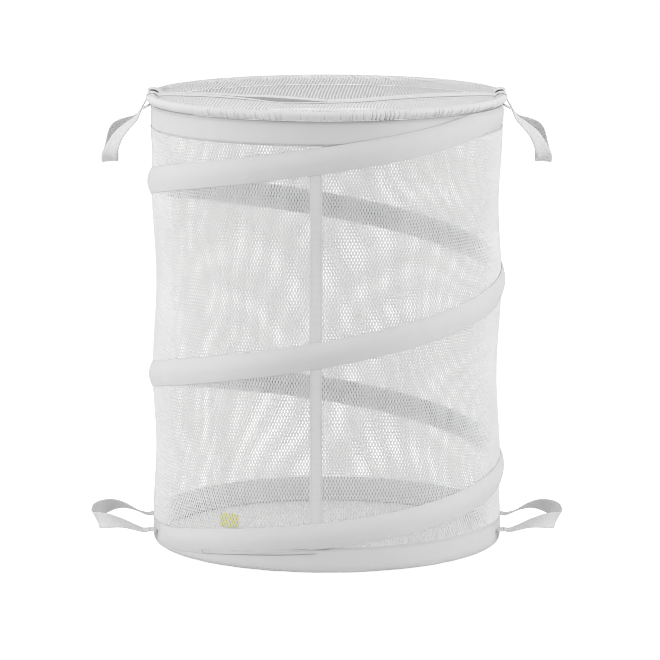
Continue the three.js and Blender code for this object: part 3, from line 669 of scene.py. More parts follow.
# Rows of stitches near the edges of the bands: out from the body, and height
BAND_ROWS = {
    "rim": [(0.3, TOP_BAND[0] + 2.2), (0.2, TOP_BAND[1] - 3.4)],
    "base": [(0.5, BOTTOM_BAND[1] - 2.4)],
}
PINCH_SPACING, PINCH_WIDTH = 3.9, 0.75
PINCH_REST, PINCH_MOST = 0.4, 1.3
SEAM_SHARE = 0.035  # part of a binding's girth on each side of its seam that is left open
FAR_PINCH_SHARE = 0.25  # what is left of a pinch across from the seam
FOLD_SHADE_DEPTH = 0.14  # how deep a pinch is where its cloth is painted darker, as painted shade in the fold
# The rim binding's lip: its ends in degrees up from level, and how far each end takes to rise
LIP_LOW, LIP_HIGH = (-35, 40), (62, 9)
RIM_LIP = 1.1
PIPING_CLOTH_TUBE = PIPING_TUBE - 0.6
FLOOR_RADIUS, FLOOR_LEVEL = 218.0, 1.0
FLOOR_SLACK, FLOOR_CLOTH = 2.4, 0.5
FLOOR_EYE_SHARE = 0.004


def band_cloth(name, profile, seed, thick, wobble, inside):
    """A cloth ring over a profile of (radius, height) with slight ripples, and its width."""
    wave, slow = ripples(seed, 30, 6, 90), ripples(seed + 1, 10, 2, 9)
    angle = np.arange(BAND_STEPS)[:, None] * TAU / BAND_STEPS
    profile = np.array(profile)
    body = np.sin(math.pi * np.linspace(0, 1, len(profile))) ** 0.7
    radius = profile[:, 0] + wobble * (wave(angle) * body + slow(angle) * 0.8)
    outer = on_ring(angle, radius, profile[:, 1])
    inner = on_ring(angle, radius - thick, profile[:, 1])
    places, quads = shell(outer, inner, around=True)
    reach = lengths(profile)
    # The inner faces take a painted inside grey: darker for the top band, lighter for the bottom band
    picks = np.arange(len(quads)) >= BAND_STEPS * (len(profile) - 1)
    piece = make(name, places, quads, [BAND, inside], weave_map(angle * BODY, reach, 2), picks)
    return piece, float(reach[-1])


def add_bands():
    top = [
        (TOP_BAND_RING + TOP_BAND_SWELL * math.sin(math.pi * t), TOP_BAND[0] + TOP_BAND_WIDTH * t)
        for t in np.linspace(0, 1, 9)
    ]
    piece, wide = band_cloth("top_band_cloth", top, 21, 0.9, 0.35, BAND_INSIDE_SHADE)
    dress(piece, "rim", "band_cloth", "top_band")
    bottom = [(BODY + out, height) for out, height in BOTTOM_PROFILE]
    piece, wide = band_cloth("bottom_band_cloth", bottom, 31, 0.8, 0.3, SLEEVE_INSIDE_LIT)
    dress(piece, "base", "band_cloth", "bottom_band")
    for body, places in BAND_ROWS.items():
        rows = [ring_stitches(BODY + out, height) for out, height in places]
        dress(sew(f"{body}_stitching", rows), body, "webbing")


def puckers(seed, steps, ring):
    """Narrow pinches across a binding, about 0 to 1, at uneven places round it."""
    rng = np.random.default_rng(seed)
    count = int(TAU * ring / PINCH_SPACING)
    places = (np.arange(count) + rng.uniform(-0.4, 0.4, count)) / count * steps
    sizes = rng.uniform(0.25, 1.0, count)
    reach = PINCH_WIDTH / (TAU * ring) * steps
    total = np.zeros(steps)
    for place, size in zip(places, sizes):
        near = np.arange(math.floor(place - 4 * reach), math.ceil(place + 4 * reach) + 1)
        total[near % steps] += size * np.exp(-(((near - place) / reach) ** 2))
    return np.minimum(total, PINCH_MOST)


def gathered(ring, level, tube, seed, steps, sides, depth, seam_at, lip=0.0):
    """Cloth gathered round a hoop, open along its seam, with pinches that run in from the seam."""
    angle = np.arange(steps)[:, None] * TAU / steps
    girth = math.radians(seam_at) + TAU * np.linspace(SEAM_SHARE, 1 - SEAM_SHARE, sides)
    pinch = puckers(seed, steps, ring)[:, None] - PINCH_REST
    pinch = pinch * np.clip(0.85 + 0.6 * ripples(seed + 5, 14, 4, 24)(angle), 0.4, 1.3)
    skew = ripples(seed + 6, 20, 8, 60)(angle)
    near = smoothstep(0.62 - 0.62 * np.sin(girth + 0.35))
    near = FAR_PINCH_SHARE + (1 - FAR_PINCH_SHARE) * near
    around = np.degrees(np.arctan2(np.sin(girth), np.cos(girth)))
    fold = smoothstep((LIP_HIGH[0] - around) / LIP_HIGH[1]) * smoothstep((around - LIP_LOW[0]) / LIP_LOW[1])
    size = tube - depth * pinch * near - depth * 0.45 * near + 0.3 * skew + lip * fold
    height = np.maximum(level + size * np.sin(girth), 0)
    places = on_ring(angle, ring + size * np.cos(girth), height).reshape(-1, 3)
    # Painted shade: faces deep in a pinch on the outer side take the darker fold cloth
    shaded_folds = (pinch * near > FOLD_SHADE_DEPTH) & (np.cos(girth) > 0.1)
    weave = weave_map(angle * ring, girth * tube)
    return places, grid_quads(steps, sides, True), weave, shaded_folds[:, :-1].ravel()


def add_rim_cloth():
    places, quads, weave, shaded_folds = gathered(RIM_RING, RIM_LEVEL, RIM_TUBE, 41, 2880, 26, 1.7, -82, RIM_LIP)
    piece = make("rim_cloth", places, quads, [BINDING, BINDING_FOLD_SHADE], weave, shaded_folds)
    dress(piece, "rim", "binding_cloth", "rim_binding")


def add_piping_cloth():
    places, quads, weave, _ = gathered(PIPING_RING, PIPING_LEVEL, PIPING_CLOTH_TUBE, 51, 1920, 14, 0.35, 46)
    piece = make("base_piping_cloth", places, quads, [BINDING], weave)
    dress(piece, "base", "binding_cloth", "base_piping")


def add_base_cloth():
    """The floor: a round cloth sewn to the base hoop, slack in its middle."""
    steps, rings = 240, 40
    slow, quick = ripples(61, 10, 2, 9), ripples(62, 24, 5, 34)
    angle = np.arange(steps)[:, None] * TAU / steps
    share = np.linspace(FLOOR_EYE_SHARE, 1, rings)[None, ::-1]
    wave = slow(angle) + 0.5 * quick(angle + 2 * share) * share
    level = FLOOR_LEVEL + FLOOR_SLACK * (1 + wave) * share * (1 - share)
    outer = on_ring(angle, FLOOR_RADIUS * share, level)
    inner = on_ring(angle, FLOOR_RADIUS * share, level - FLOOR_CLOTH)
    places, quads = shell(outer, inner, around=True)
    piece = make("floor_cloth", places, quads, [FLOOR], places[:, :2])
    dress(piece, "base", "floor_cloth", "floor_panel")


# Spiral and sleeve

SLEEVE_PAST = 1.6  # steps of the run that the sleeve goes on past each end of the wire
SLEEVE_STATIONS = np.linspace(-SLEEVE_PAST, SPIRAL_STEPS + SLEEVE_PAST, SPIRAL_STEPS * 6 + 1)
SLEEVE_ARCH, SLEEVE_ARCH_POWER = 4.1, 1.15
SLEEVE_LIFT, SLEEVE_END_LIFT = 0.5, 0.4
SLEEVE_CLOTH, SLEEVE_EDGE_CLOTH, SLEEVE_BACK = 0.4, 0.2, 0.1
SLEEVE_PUCKER, SLEEVE_FINE_PUCKER = 0.35, 0.3
SLEEVE_RUN_RING = BODY + 3
# Where the sleeve is sewn down, as a share of its half width, and how deep the stitches sink
SLEEVE_SEAM_SHARE, SLEEVE_DENT = 0.88, 0.3
SLEEVE_HALF_SHARES = np.array([0.15, 0.35, 0.6, 0.8, SLEEVE_SEAM_SHARE, 0.94, 1])
SLEEVE_SHARES = np.concatenate([-SLEEVE_HALF_SHARES[::-1], [0], SLEEVE_HALF_SHARES])
FOOT_TRIM, FOOT_TRIM_STEPS = 7, 4.5
STITCH_LIFT, HEM_LIFT = 0.55, 0.7
# The two stitch lines where the sleeve's foot is sewn down: degrees round the body, and height
HEM_HIGH = [(-43.7, 17.2), (-14.9, 29.0), (-8.5, 30.2), (1.0, 30.4)]
HEM_LOW = [(-43.2, 12.8), (-29.9, 17.8), (-3.7, 24.9)]
HEM_END_LEVELS = np.array([14.3, 16.2])
HEM_STITCH_HALF = 1.8
# Painted shade: wide spaced dark stitches on the piping stand for the shade in its puckers: ring, height,
# spacing, and the angles that they run between
PIPING_SHADE_DOTS = (225.6, 3.6, 7.5, math.radians(-66), math.radians(-14))
PIPING_SHADE_DOT_HALF = 0.9
RIM_SEAM_DEGREES, RIM_SEAM_LEVELS = (56, 65), (567.3, 570.6)
RIM_SEAM_LIFT, RIM_SEAM_COUNT, RIM_SEAM_STITCH_HALF = 0.5, 9, 2.3
WIRE_RADIUS, WIRE_RING = 1.2, 227.2
WIRE_INSET = 0.3  # in steps of the run
WIRE_STATIONS, WIRE_SIDES = 460, 10


def sleeve_arch(t):
    return np.cos(math.pi / 2 * np.clip(np.abs(t), 0, 1)) ** SLEEVE_ARCH_POWER


def sleeve_fade(along):
    """1 along the wire, and less over the sleeve's last steps, where it lies down flat."""
    left = SPIRAL_STEPS / 2 + SLEEVE_PAST - np.abs(along - SPIRAL_STEPS / 2)
    return smoothstep(left / (SLEEVE_PAST - 0.1))


def sleeve_reach(along):
    """How far the sleeve reaches over and under its wire, less near its foot."""
    middle = spiral_height(along)
    left = SPIRAL_STEPS + SLEEVE_PAST - along
    high = SLEEVE_HALF - FOOT_TRIM * (1 - smoothstep(left / FOOT_TRIM_STEPS))
    return np.minimum(high, TOP_BAND[1] - middle), np.minimum(SLEEVE_HALF, middle - BOTTOM_BAND[0])


def sleeve_length():
    angle = SPIRAL_START - SLEEVE_STATIONS * STEP
    return float(lengths(on_ring(angle, SLEEVE_RUN_RING, spiral_height(SLEEVE_STATIONS)))[-1])


def add_sleeve():
    """The cloth channel over the spiral, puckered between its two lines of stitches."""
    along, t = SLEEVE_STATIONS[:, None], SLEEVE_SHARES
    up, down = sleeve_reach(along)
    height = spiral_height(along) + np.where(t > 0, t * up, t * down)
    fade = sleeve_fade(along)
    around = along / SPIRAL_STEPS * TAU
    wave, fine = ripples(71, 30, 20, 130)(around), ripples(72, 30, 60, 240)(around)
    pucker = (SLEEVE_PUCKER * wave + SLEEVE_FINE_PUCKER * fine) * (np.abs(t) > 0.1) * (1 - np.abs(t) ** 8)
    dent = SLEEVE_DENT * (np.abs(t) == SLEEVE_SEAM_SHARE)
    lift = SLEEVE_LIFT + SLEEVE_END_LIFT * (1 - fade)
    radius = BODY + lift + (SLEEVE_ARCH * sleeve_arch(t) + pucker - dent) * fade
    thick = SLEEVE_EDGE_CLOTH + SLEEVE_CLOTH * fade * (1 - np.abs(t) ** 12)
    angle = SPIRAL_START - along * STEP
    outer = on_ring(angle, radius + thick, height)[::-1]
    inner = on_ring(angle, radius - SLEEVE_BACK, height)[::-1]
    places, quads = shell(outer, inner)
    weave = weave_map((along * STEP * BODY)[::-1], t * SLEEVE_HALF, 2)
    # The inner faces take the lighter painted inside grey
    picks = np.arange(len(quads)) >= (len(along) - 1) * (len(t) - 1)
    piece = make("spiral_sleeve_cloth", places, quads, [SLEEVE, SLEEVE_INSIDE_LIT], weave, picks)
    dress(piece, "base", "sleeve_cloth", "spiral_sleeve", press=SPIRAL_PRESS)
    sleeve_length()


def sleeve_point(spots, side):
    """Points on the sleeve at places along it, on one side of its middle."""
    reach = sleeve_reach(spots)[0 if side > 0 else 1]
    radius = BODY + STITCH_LIFT + (SLEEVE_ARCH * sleeve_arch(side) - SLEEVE_DENT) * sleeve_fade(spots)
    return on_ring(SPIRAL_START - spots * STEP, radius, spiral_height(spots) + side * reach)


def add_sleeve_stitching():
    rows = []
    count = int(sleeve_length() / SEAM_SPACING)
    spots = (np.arange(count) + 0.5) / count * SPIRAL_STEPS
    for side in (-SLEEVE_SEAM_SHARE, SLEEVE_SEAM_SHARE):
        runs = sleeve_point(spots + 0.05, side) - sleeve_point(spots - 0.05, side)
        rows.append((sleeve_point(spots, side), runs, outward(SPIRAL_START - spots * STEP)))
    dress(sew("sleeve_stitching", rows), "base", "webbing", press=SPIRAL_PRESS)


def add_wire():
    along = np.linspace(WIRE_INSET, SPIRAL_STEPS - WIRE_INSET, WIRE_STATIONS)[:, None]
    turn = np.arange(WIRE_SIDES) * TAU / WIRE_SIDES
    radius = WIRE_RING + WIRE_RADIUS * np.cos(turn)
    height = spiral_height(along) + WIRE_RADIUS * np.sin(turn)
    places = on_ring(SPIRAL_START - along * STEP, radius, height)[::-1].reshape(-1, 3)
    piece = make("spiral_spring", places, grid_quads(WIRE_STATIONS, WIRE_SIDES, False, True), [SPRING])
    dress(piece, "base", "spring_steel", "spiral_wire", press=SPIRAL_PRESS)


def hem_point(angle, level):
    """Points on the sleeve's last turn, at a height."""
    spots = (SPIRAL_START - angle) / STEP + 2 * TURN_STEPS
    side = (level - spiral_height(spots)) / SLEEVE_HALF
    return on_ring(angle, BODY + HEM_LIFT + SLEEVE_ARCH * sleeve_arch(side), level)


def add_hem():
    """Two dark lines of stitches where the sleeve's foot is sewn down, and two upright ones."""
    rows = []
    for bends in (HEM_HIGH, HEM_LOW):
        degrees, levels = np.array(bends).T
        angle = np.arange(*np.radians(degrees[[0, -1]]), RING_SPACING / BODY)
        middles = hem_point(angle, np.interp(angle, np.radians(degrees), levels))
        rows.append((middles, np.gradient(middles, axis=0), outward(angle)))
    angle = np.radians(np.full(len(HEM_END_LEVELS), HEM_HIGH[0][0]))
    rows.append((hem_point(angle, HEM_END_LEVELS), np.tile(UP, (len(angle), 1)), outward(angle)))
    piece = sew("hem_stitching", rows, HEM_STITCH_HALF, DARK_THREAD_AND_SHADE)
    dress(piece, "base", "webbing", press=SPIRAL_PRESS)


# Painted shade: a dotted dark line along the piping, drawn as dark stitches, for the shade in its puckers
def add_piping_shade_dots():
    rows = [ring_stitches(*PIPING_SHADE_DOTS)]
    dress(sew("piping_shade_dots", rows, PIPING_SHADE_DOT_HALF, DARK_THREAD_AND_SHADE), "base", "webbing")


def add_rim_seam():
    """A dark slanting line of stitches low on the rim binding."""
    angle = np.radians(np.linspace(*RIM_SEAM_DEGREES, RIM_SEAM_COUNT))
    level = np.linspace(*RIM_SEAM_LEVELS, RIM_SEAM_COUNT)
    radius = RIM_RING + RIM_SEAM_LIFT + np.sqrt(RIM_TUBE**2 - (level - RIM_LEVEL) ** 2)
    middles = on_ring(angle, radius, level)
    rows = [(middles, np.gradient(middles, axis=0), outward(angle))]
    dress(sew("rim_seam", rows, RIM_SEAM_STITCH_HALF, DARK_THREAD_AND_SHADE), "rim", "webbing")


# Seam tape and tag

SEAM_OFFSET, SEAM_WIDTH = 13.4, 15.3
SEAM_AT, SEAM_HALF = -SEAM_OFFSET / BODY, SEAM_WIDTH / 2 / BODY
SEAM_PAST, SEAM_LIFT, SEAM_CROWN, SEAM_CLOTH = 1, 1.0, 0.25, 0.7
SEAM_SWAY, SEAM_SWAY_LENGTH = 0.6, 90
SEAM_STITCH_SHARE, SEAM_STITCH_LIFT, SEAM_STITCH_END = 0.8, 1.15, 2
TAG_AT = -4.5 * STEP + 1.2 / BODY
TAG_HALF, TAG_LEVELS = 14.2, (50, 68)
TAG_GAP, TAG_CURL, TAG_BEND, TAG_CLOTH = 1.0, 0.5, 0.3, 0.35


def add_seam_tape():
    """The tape over the net's upright seam, which follows the drawn-in wall."""
    level = np.linspace(WALL[0] - SEAM_PAST, WALL[1] + SEAM_PAST, 130)
    t = np.linspace(-1, 1, 9)[:, None]
    sway = SEAM_SWAY / BODY * ripples(81, 10, 2, 12)(level / SEAM_SWAY_LENGTH)
    angle = SEAM_AT + SEAM_HALF * t + sway
    radius = wall_radius(angle, level) + SEAM_LIFT + SEAM_CROWN * np.cos(math.pi / 2 * t)
    places, quads = shell(on_ring(angle, radius, level), on_ring(angle, radius - SEAM_CLOTH, level))
    piece = make("wall_seam_cloth", places, quads, [SEAM], weave_map(t * SEAM_WIDTH / 2, level, 2))
    dress(piece, "base", "seam_tape", "wall_seam_tape", press=WALL_PRESS)


def add_seam_stitching():
    rows = []
    level = np.arange(WALL[0] + SEAM_STITCH_END, WALL[1] - SEAM_STITCH_END, SEAM_SPACING)
    for side in (-SEAM_STITCH_SHARE, SEAM_STITCH_SHARE):
        angle = np.full(len(level), SEAM_AT + SEAM_HALF * side)
        middles = on_ring(angle, wall_radius(angle, level) + SEAM_STITCH_LIFT, level)
        rows.append((middles, np.tile(UP, (len(level), 1)), outward(angle)))
    dress(sew("wall_seam_stitching", rows), "base", "webbing", press=WALL_PRESS)


def add_tag():
    """The small bare tag, behind the net and a little curled."""
    t = np.linspace(-1, 1, 9)[:, None]
    level = np.linspace(*TAG_LEVELS, 7)
    angle = TAG_AT + TAG_HALF / BODY * t
    curl = TAG_CURL * np.sin(np.linspace(0, math.pi, 7)) + TAG_BEND * np.sin(3 * t)
    radius = wall_radius(angle, level) - TAG_GAP - curl
    places, quads = shell(on_ring(angle, radius, level), on_ring(angle, radius - TAG_CLOTH, level))
    piece = make("bare_tag", places, quads, [TAG], weave_map(t * TAG_HALF, level, 2))
    dress(piece, "base", "tag_cloth", "sewn_tag", press=WALL_PRESS)


# Lid

LID_LEVEL = RIM_LEVEL + 2.5
LID_RADIUS = 216.73
LID_SAG, LID_CURVE_SHARE = 9.0, 1.5
LID_PITCH = 4.8
NET_DROP, NET_OVER_RIM, NET_RIDGE = 0.5, 0.25, 0.04
SLIT_SIDE, TAPE_WIDTH = 0.5, 20
TAPE_SIDE = SLIT_SIDE + TAPE_WIDTH
TAPE_LAP = 17  # how far out from the slit the net starts, under the tape
TAPE_LIFT, TAPE_CROWN, TAPE_CLOTH = 0.9, 0.35, 1.1
MOUTH_OFFSET, MOUTH_HALF = 61, 47
# Each flap's side, how far its slit edge is drawn back, its tape's end and height over the
# rim, its net's turn, reach past the lid and holes, the slit edge's height in shares of the
# sag, and its folds: slope, distance from the slit, height and width
FLAPS = {
    "front": dict(
        ahead=-1, mouth=14, tape=229.5, lift=1.3, end_lift=0,
        turn=0.48, past=11.5, hole=0.74, seed=92, area=0.03,
        edge_shares=[0.3, 0.13, -0.04, -0.4, -0.82, -1.1, -1.07, -0.95, -0.6, -0.25, 0, 0.15, 0.3],
        folds=[(0.35, 70, 1.0, 16), (-0.25, 120, 0.8, 20)],
    ),
    "rear": dict(
        ahead=1, mouth=0, tape=229.0, lift=2.0, end_lift=2.2,
        turn=0.464, past=10, hole=1.0, seed=90, area=0.025,
        edge_shares=[0.3, 0.15, 0, -0.28, -0.36, -0.66, -1.05, -0.95, -0.6, -0.25, 0, 0.15, 0.3],
        folds=[(0.18, 95, 0.9, 20), (-0.3, 60, 1.0, 18), (0.5, 150, 0.7, 20)],
    ),
}
TAPE_OVER_FROM, TAPE_OVER_RUN = 192, 34  # along a tape, where it lifts clear of the binding
TAPE_RISE_FROM, TAPE_RISE_RUN = 32, 28  # inside the rim's hoop, where a tape starts to rise
SIDE_WAVE, SIDE_WAVE_LENGTH = 2.0, 34


def rounded(shares, along):
    """The shares as a smooth line over -1 to 1."""
    knots = np.linspace(-1, 1, len(shares))
    fine = np.linspace(-1.2, 1.2, 481)
    rough = np.interp(fine, knots, shares)
    weight = np.exp(-0.5 * (np.arange(-24, 25) / 9.0) ** 2)
    smooth = np.convolve(np.pad(rough, 24, mode="edge"), weight / weight.sum(), "valid")
    return np.interp(along, fine, smooth)


def mouth(flap, x):
    """How far a flap's slit edge is drawn back from the slit."""
    off = np.clip((x + MOUTH_OFFSET) / MOUTH_HALF, -1, 1)
    return flap["mouth"] * np.cos(math.pi / 2 * off) ** 2


def to_rim(x):
    return np.sqrt(np.maximum(LID_RADIUS**2 - x**2, 0))


def over_rim(tube, beside):
    """Height of what lies on a tube round the rim's hoop, at a distance beside the hoop."""
    return RIM_LEVEL + np.sqrt(np.maximum(tube**2 - beside**2, 0))


def lid_level(flap, x, out):
    """Height of a flap at a place: out is the distance from the slit's line."""
    edge = LID_SAG * rounded(flap["edge_shares"], x / LID_RADIUS)
    across = np.maximum(to_rim(x) - SLIT_SIDE - mouth(flap, x), 4)
    inward = np.clip((to_rim(x) - out) / across, 0, 1.02)
    return LID_LEVEL + edge * inward**LID_CURVE_SHARE


def lid_folds(flap, x, out):
    """Soft folds in the slack net of a flap."""
    slack = smoothstep((to_rim(x) - out) / 30) * smoothstep((out - TAPE_SIDE) / 20)
    total = 0 * x
    for slope, level, size, width in flap["folds"]:
        total = total + size * np.exp(-(((out - level - slope * x) / width) ** 2))
    return total * slack


def tape_level(flap, x, out):
    """A tape's height: it lies on the lid, and its ends are led over the rim."""
    level = lid_level(flap, x, out) + TAPE_LIFT
    lift = flap["lift"] + flap["end_lift"] * smoothstep((np.abs(x) - TAPE_OVER_FROM) / TAPE_OVER_RUN)
    beside = np.hypot(x, out) - RIM_RING
    over = over_rim(RIM_TUBE + lift, np.maximum(np.abs(beside) - 1, 0))
    return level + np.maximum(over - level, 0) * smoothstep((beside + TAPE_RISE_FROM) / TAPE_RISE_RUN)


def blended(piece):
    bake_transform(piece)


def flap_net(flap, side):
    """Half of a flap: net from the tape out to the rim binding."""
    radius = LID_RADIUS + flap["past"]
    rows = int(2 * radius / NET_RISE) + 60
    columns = int(2 * radius / LID_PITCH) + 60
    c, s = math.cos(flap["turn"]), math.sin(flap["turn"])

    def on_lid(u, v):
        """A place of the turned net, drawn into waves towards its sides."""
        x, y = u - columns * LID_PITCH / 2, v - rows * NET_RISE / 2
        x, y = x * c - y * s, x * s + y * c
        drawn = SIDE_WAVE * smoothstep((np.abs(x + 40) - 90) / 70) * smoothstep(np.abs(x) / 12)
        return x + drawn * np.sin(y * TAU / SIDE_WAVE_LENGTH + x / 24), y

    def keep(u, v):
        x, y = on_lid(u, v)
        return (np.hypot(x, y) < radius) & (side * x >= 0) & (flap["ahead"] * y > TAPE_LAP + mouth(flap, x))

    seed = flap["seed"] + (side < 0)
    flat, quads = net_layout(columns, rows, LID_PITCH, keep, seed, ridge_lift=NET_RIDGE, hole=flap["hole"])
    x, y = on_lid(flat[:, 0], flat[:, 1])
    out = flap["ahead"] * y
    level = lid_level(flap, x, out) - NET_DROP + flat[:, 2] + lid_folds(flap, x, out)
    beside = np.hypot(x, y) - RIM_RING
    over = over_rim(RIM_TUBE + NET_OVER_RIM, beside)
    level = np.where(beside > -RIM_TUBE, np.maximum(level, over), level)
    return np.column_stack([x, y, level]), quads


def flap_tape(flap, side):
    """Half of a slit tape, from the middle of the lid to its end over the rim."""
    x = side * np.concatenate([np.linspace(0, 180, 70), np.linspace(182, flap["tape"], 50)])[:, None]
    out = np.linspace(SLIT_SIDE, TAPE_SIDE, 7)
    reach = out + mouth(flap, x)
    level = tape_level(flap, x, reach) + TAPE_CROWN * np.sin(np.linspace(0, math.pi, 7))
    if side * flap["ahead"] < 0:
        x, reach, level = x[::-1], reach[::-1], level[::-1]
    outer = np.stack(np.broadcast_arrays(x, flap["ahead"] * reach, level), -1)
    places, quads = shell(outer, outer - [0, 0, TAPE_CLOTH])
    return places, quads, weave_map(x, out, 2)


def add_flap(name):
    """A flap's net and slit tape, each in a left and a right half."""
    flap = FLAPS[name]
    for side_name, side in (("left", -1), ("right", 1)):
        places, quads = flap_net(flap, side)
        # The lid's net takes the darker yarn, painted shade for the strong light from above
        piece = make(f"lid_net_{name}_{side_name}", places, quads, [LID_NET_SHADED])
        own_map(piece, np.abs(places[:, :2]) / 220)
        dress(piece, None, "net_cloth", f"lid_{name}_panel")
        blended(piece)
        places, quads, weave = flap_tape(flap, side)
        piece = make(f"lid_tape_{name}_{side_name}", places, quads, [WEBBING], weave)
        dress(piece, None, "webbing", f"lid_{name}_tape")
        blended(piece)


# Webbing loops

TOP_FOLD = (BODY + 11.5, HEIGHT - 20)
BASE_FOLD = (BODY + 3, 18.7)
# A loop's path in shares of its reach and rise, its ends and strands out from its middle,
# where it turns back and how squarely, where its webbing is on edge and how late each strand
# gets there, how far the rear strand stands off, and the tip's lean
TOP_LOOP = dict(
    path=[(0, 0), (0.16, -0.17), (0.42, -0.31), (0.71, -0.49), (0.9, -0.71), (1, -0.88), (1, -1)],
    reach=41.5, rise=68.4, root=10.5, spread=22, turn=0.8, corner=1, twist=0.9, delays=(1, 1),
    parting=6, lean=0, fold=TOP_FOLD,
)
BASE_LOOP = dict(
    path=[(0, 0), (0.12, -0.12), (0.3, 0.3), (0.5, 0.8), (0.7, 1.02), (0.88, 1.05), (1, 1)],
    reach=72.8, rise=9.5, root=51, spread=50, turn=0.48, corner=0.667, twist=0.95, delays=(1.9, 1.25),
    parting=3, lean=0.27, fold=BASE_FOLD,
)
LOOP_CURL = 0.5
# Webbing across: shares of its half width, and its half thickness at each
STRAP_SHARES = np.array([-1, -0.97, -0.6, -0.2, 0.2, 0.6, 0.97, 1])
STRAP_THICK = np.array([0.25, 0.6, 0.6, 0.6, 0.6, 0.6, 0.6, 0.25])
# A top loop's rear tab wraps the rim between these shares of a half turn
TAB_WRAP_SHARES = (0.7, -0.1)
TAB_START = (215.7 - TOP_FOLD[0], 578.7 - TOP_FOLD[1])
TAB_END = (-0.15, 0.6)
FRONT_TAB = [(-10.9, 5.5), (-7, 3.2), (-3.5, 1.4), (-0.3, 0.15)]
BASE_TAB = [(-9.3, 0), (-6, 0), (-3, 0), (-0.3, 0)]


def there_and_back(half):
    return np.concatenate([half, half[:-1][::-1]])


def loop_line(loop):
    """Middles of a loop from its front root to its rear one, and how far along each lies."""
    spans = len(loop["path"]) - 1
    knots = np.array(loop["path"], float) * [loop["reach"], loop["rise"]]
    line = smooth_line(knots, np.linspace(0, spans, 40 * spans + 1))
    share = lengths(line) / lengths(line)[-1]

    def at(along):
        return np.stack([np.interp(np.clip(along, 0, 1), share, line[:, i]) for i in range(2)], -1)

    run = np.linspace(0, 1, 36, endpoint=False)
    turn = np.linspace(0, math.pi / 2, 26)
    turned = loop["turn"] + (1 - loop["turn"]) * np.sin(turn) ** loop["corner"]
    along = np.concatenate([loop["turn"] * run, turned])
    strand = loop["root"] + (loop["spread"] - loop["root"]) * smoothstep(run)
    tip = loop["spread"] * np.maximum(0, np.cos(turn)) ** loop["corner"]
    aside = np.concatenate([strand, tip])
    heading = unit(at(along + 0.01) - at(along - 0.01))
    place = at(along)
    middles = there_and_back(np.column_stack([place[:, 0], -aside, place[:, 1]]))
    ups = there_and_back(np.column_stack([-heading[:, 1], 0 * aside, heading[:, 0]]))
    alongs = there_and_back(along)
    back = np.arange(len(middles)) >= len(along)
    middles[back] *= [1, -1, 1]
    middles[back] += loop["parting"] * np.sin(math.pi * alongs[back])[:, None] ** 3 * [1, 0, 1]
    return middles, ups, alongs, back


def add_strap(name, node, middles, widths, curl, left, body, fold):
    """Flat webbing along a line from its fold, put at its side of the body, mirrored for the left."""
    middles, widths = middles[:, None, :], widths[:, None, :]
    runs = unit(np.gradient(middles, axis=0))
    outs = unit(np.cross(runs, widths))
    t = STRAP_SHARES[None, :, None]
    bent = middles + widths * t * STRAP_HALF + outs * curl * t**2
    thick = outs * STRAP_THICK[None, :, None]
    places, quads = shell(bent + thick, bent - thick)
    weave = weave_map(lengths(middles[:, 0])[:, None], STRAP_SHARES * STRAP_HALF, 2)
    places = places + [fold[0], 0, fold[1]]
    if left:
        places = places * [-1, 1, 1]
        quads = quads[:, ::-1]
    piece = make(name, places, quads, [WEBBING], weave)
    dress(piece, body, "webbing", node)


def add_loop(name, loop, left, body):
    """The webbing lies flat at its roots, turns on edge on its way to the tip and leans there."""
    middles, ups, alongs, back = loop_line(loop)
    runs = unit(np.gradient(middles, axis=0))
    flat = squared(np.where(back, -1, 1)[:, None] * [0.0, 1.0, 0.0], runs)
    delay = np.where(back, loop["delays"][1], loop["delays"][0])
    turn = np.arcsin(np.minimum(1, alongs / loop["twist"]) ** delay)[:, None]
    widths = ups * np.sin(turn) + flat * np.cos(turn)
    lean = (loop["lean"] * alongs**1.5 * math.pi / 2)[:, None]
    widths = unit(widths * np.cos(lean) + unit(np.cross(runs, ups)) * np.sin(lean))
    add_strap(name.replace("loop", "handle"), name, middles, widths, LOOP_CURL, left, body, loop["fold"])


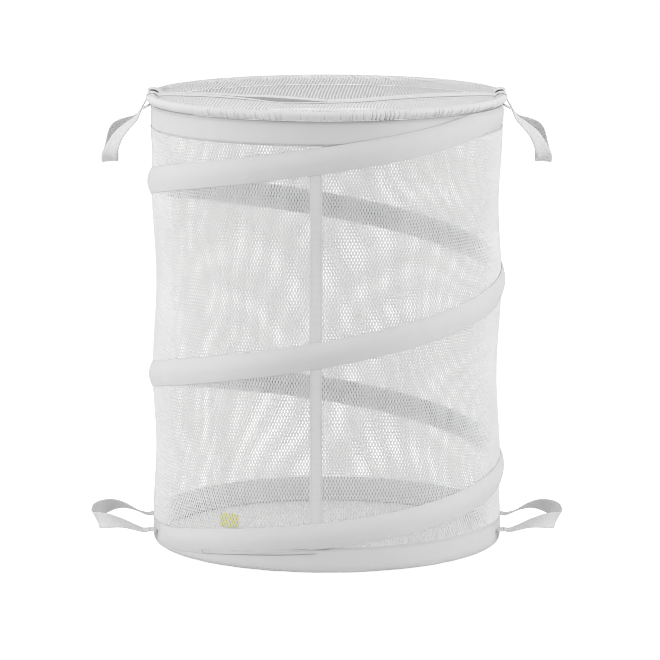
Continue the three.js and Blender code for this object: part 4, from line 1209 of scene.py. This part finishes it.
def add_tab(name, points, aside, left, body, fold):
    points = np.array(points, float)
    middles = np.column_stack([points[:, 0], np.full(len(points), aside), points[:, 1]])
    widths = np.tile([0.0, 1.0, 0.0], (len(points), 1))
    add_strap(name + "_webbing", name, middles, widths, 0, left, body, fold)


def rear_tab_points():
    """From the slit over the rim binding, down to the fold."""
    over = RIM_TUBE + TAPE_LIFT
    x, z = RIM_RING - TOP_FOLD[0], RIM_LEVEL - TOP_FOLD[1]
    wrap = np.linspace(*TAB_WRAP_SHARES, 17) * math.pi
    round_rim = [(x + over * math.cos(angle), z + over * math.sin(angle)) for angle in wrap]
    return [TAB_START, *round_rim, TAB_END]


def add_loops():
    top, base = TOP_LOOP["root"], BASE_LOOP["root"]
    for left in (True, False):
        side = "left" if left else "right"
        add_loop(f"top_{side}_loop", TOP_LOOP, left, f"top_{side}_handle")
        add_loop(f"base_{side}_loop", BASE_LOOP, left, f"base_{side}_handle")
        add_tab(f"top_{side}_rear_tab", rear_tab_points(), top, left, "rim", TOP_FOLD)
        add_tab(f"top_{side}_front_tab", FRONT_TAB, -top, left, "rim", TOP_FOLD)
        add_tab(f"base_{side}_front_tab", BASE_TAB, -base, left, "base", BASE_FOLD)
        add_tab(f"base_{side}_rear_tab", BASE_TAB, base, left, "base", BASE_FOLD)


# Hidden metal and plastic

FINISHES = [
    (SPRING, ["base_hoop_wire", "top_hoop_wire"]),
    (CRIMP, ["base_hoop_ferrule", "top_hoop_ferrule"]),
    (CAP, ["spiral_top_cap", "spiral_foot_cap"]),
]


def finish_hidden():
    """Wires, ferrules and caps keep their own shapes and get finished metal and plastic."""
    for material, names in FINISHES:
        for name in names:
            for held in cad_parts[name].material_slots:
                held.material = material


add_wall_net()
add_bands()
add_rim_cloth()
add_piping_cloth()
add_base_cloth()
add_sleeve()
add_sleeve_stitching()
add_wire()
add_hem()
add_piping_shade_dots()
add_rim_seam()
add_seam_tape()
add_seam_stitching()
add_tag()
add_flap("front")
add_flap("rear")
add_loops()
finish_hidden()
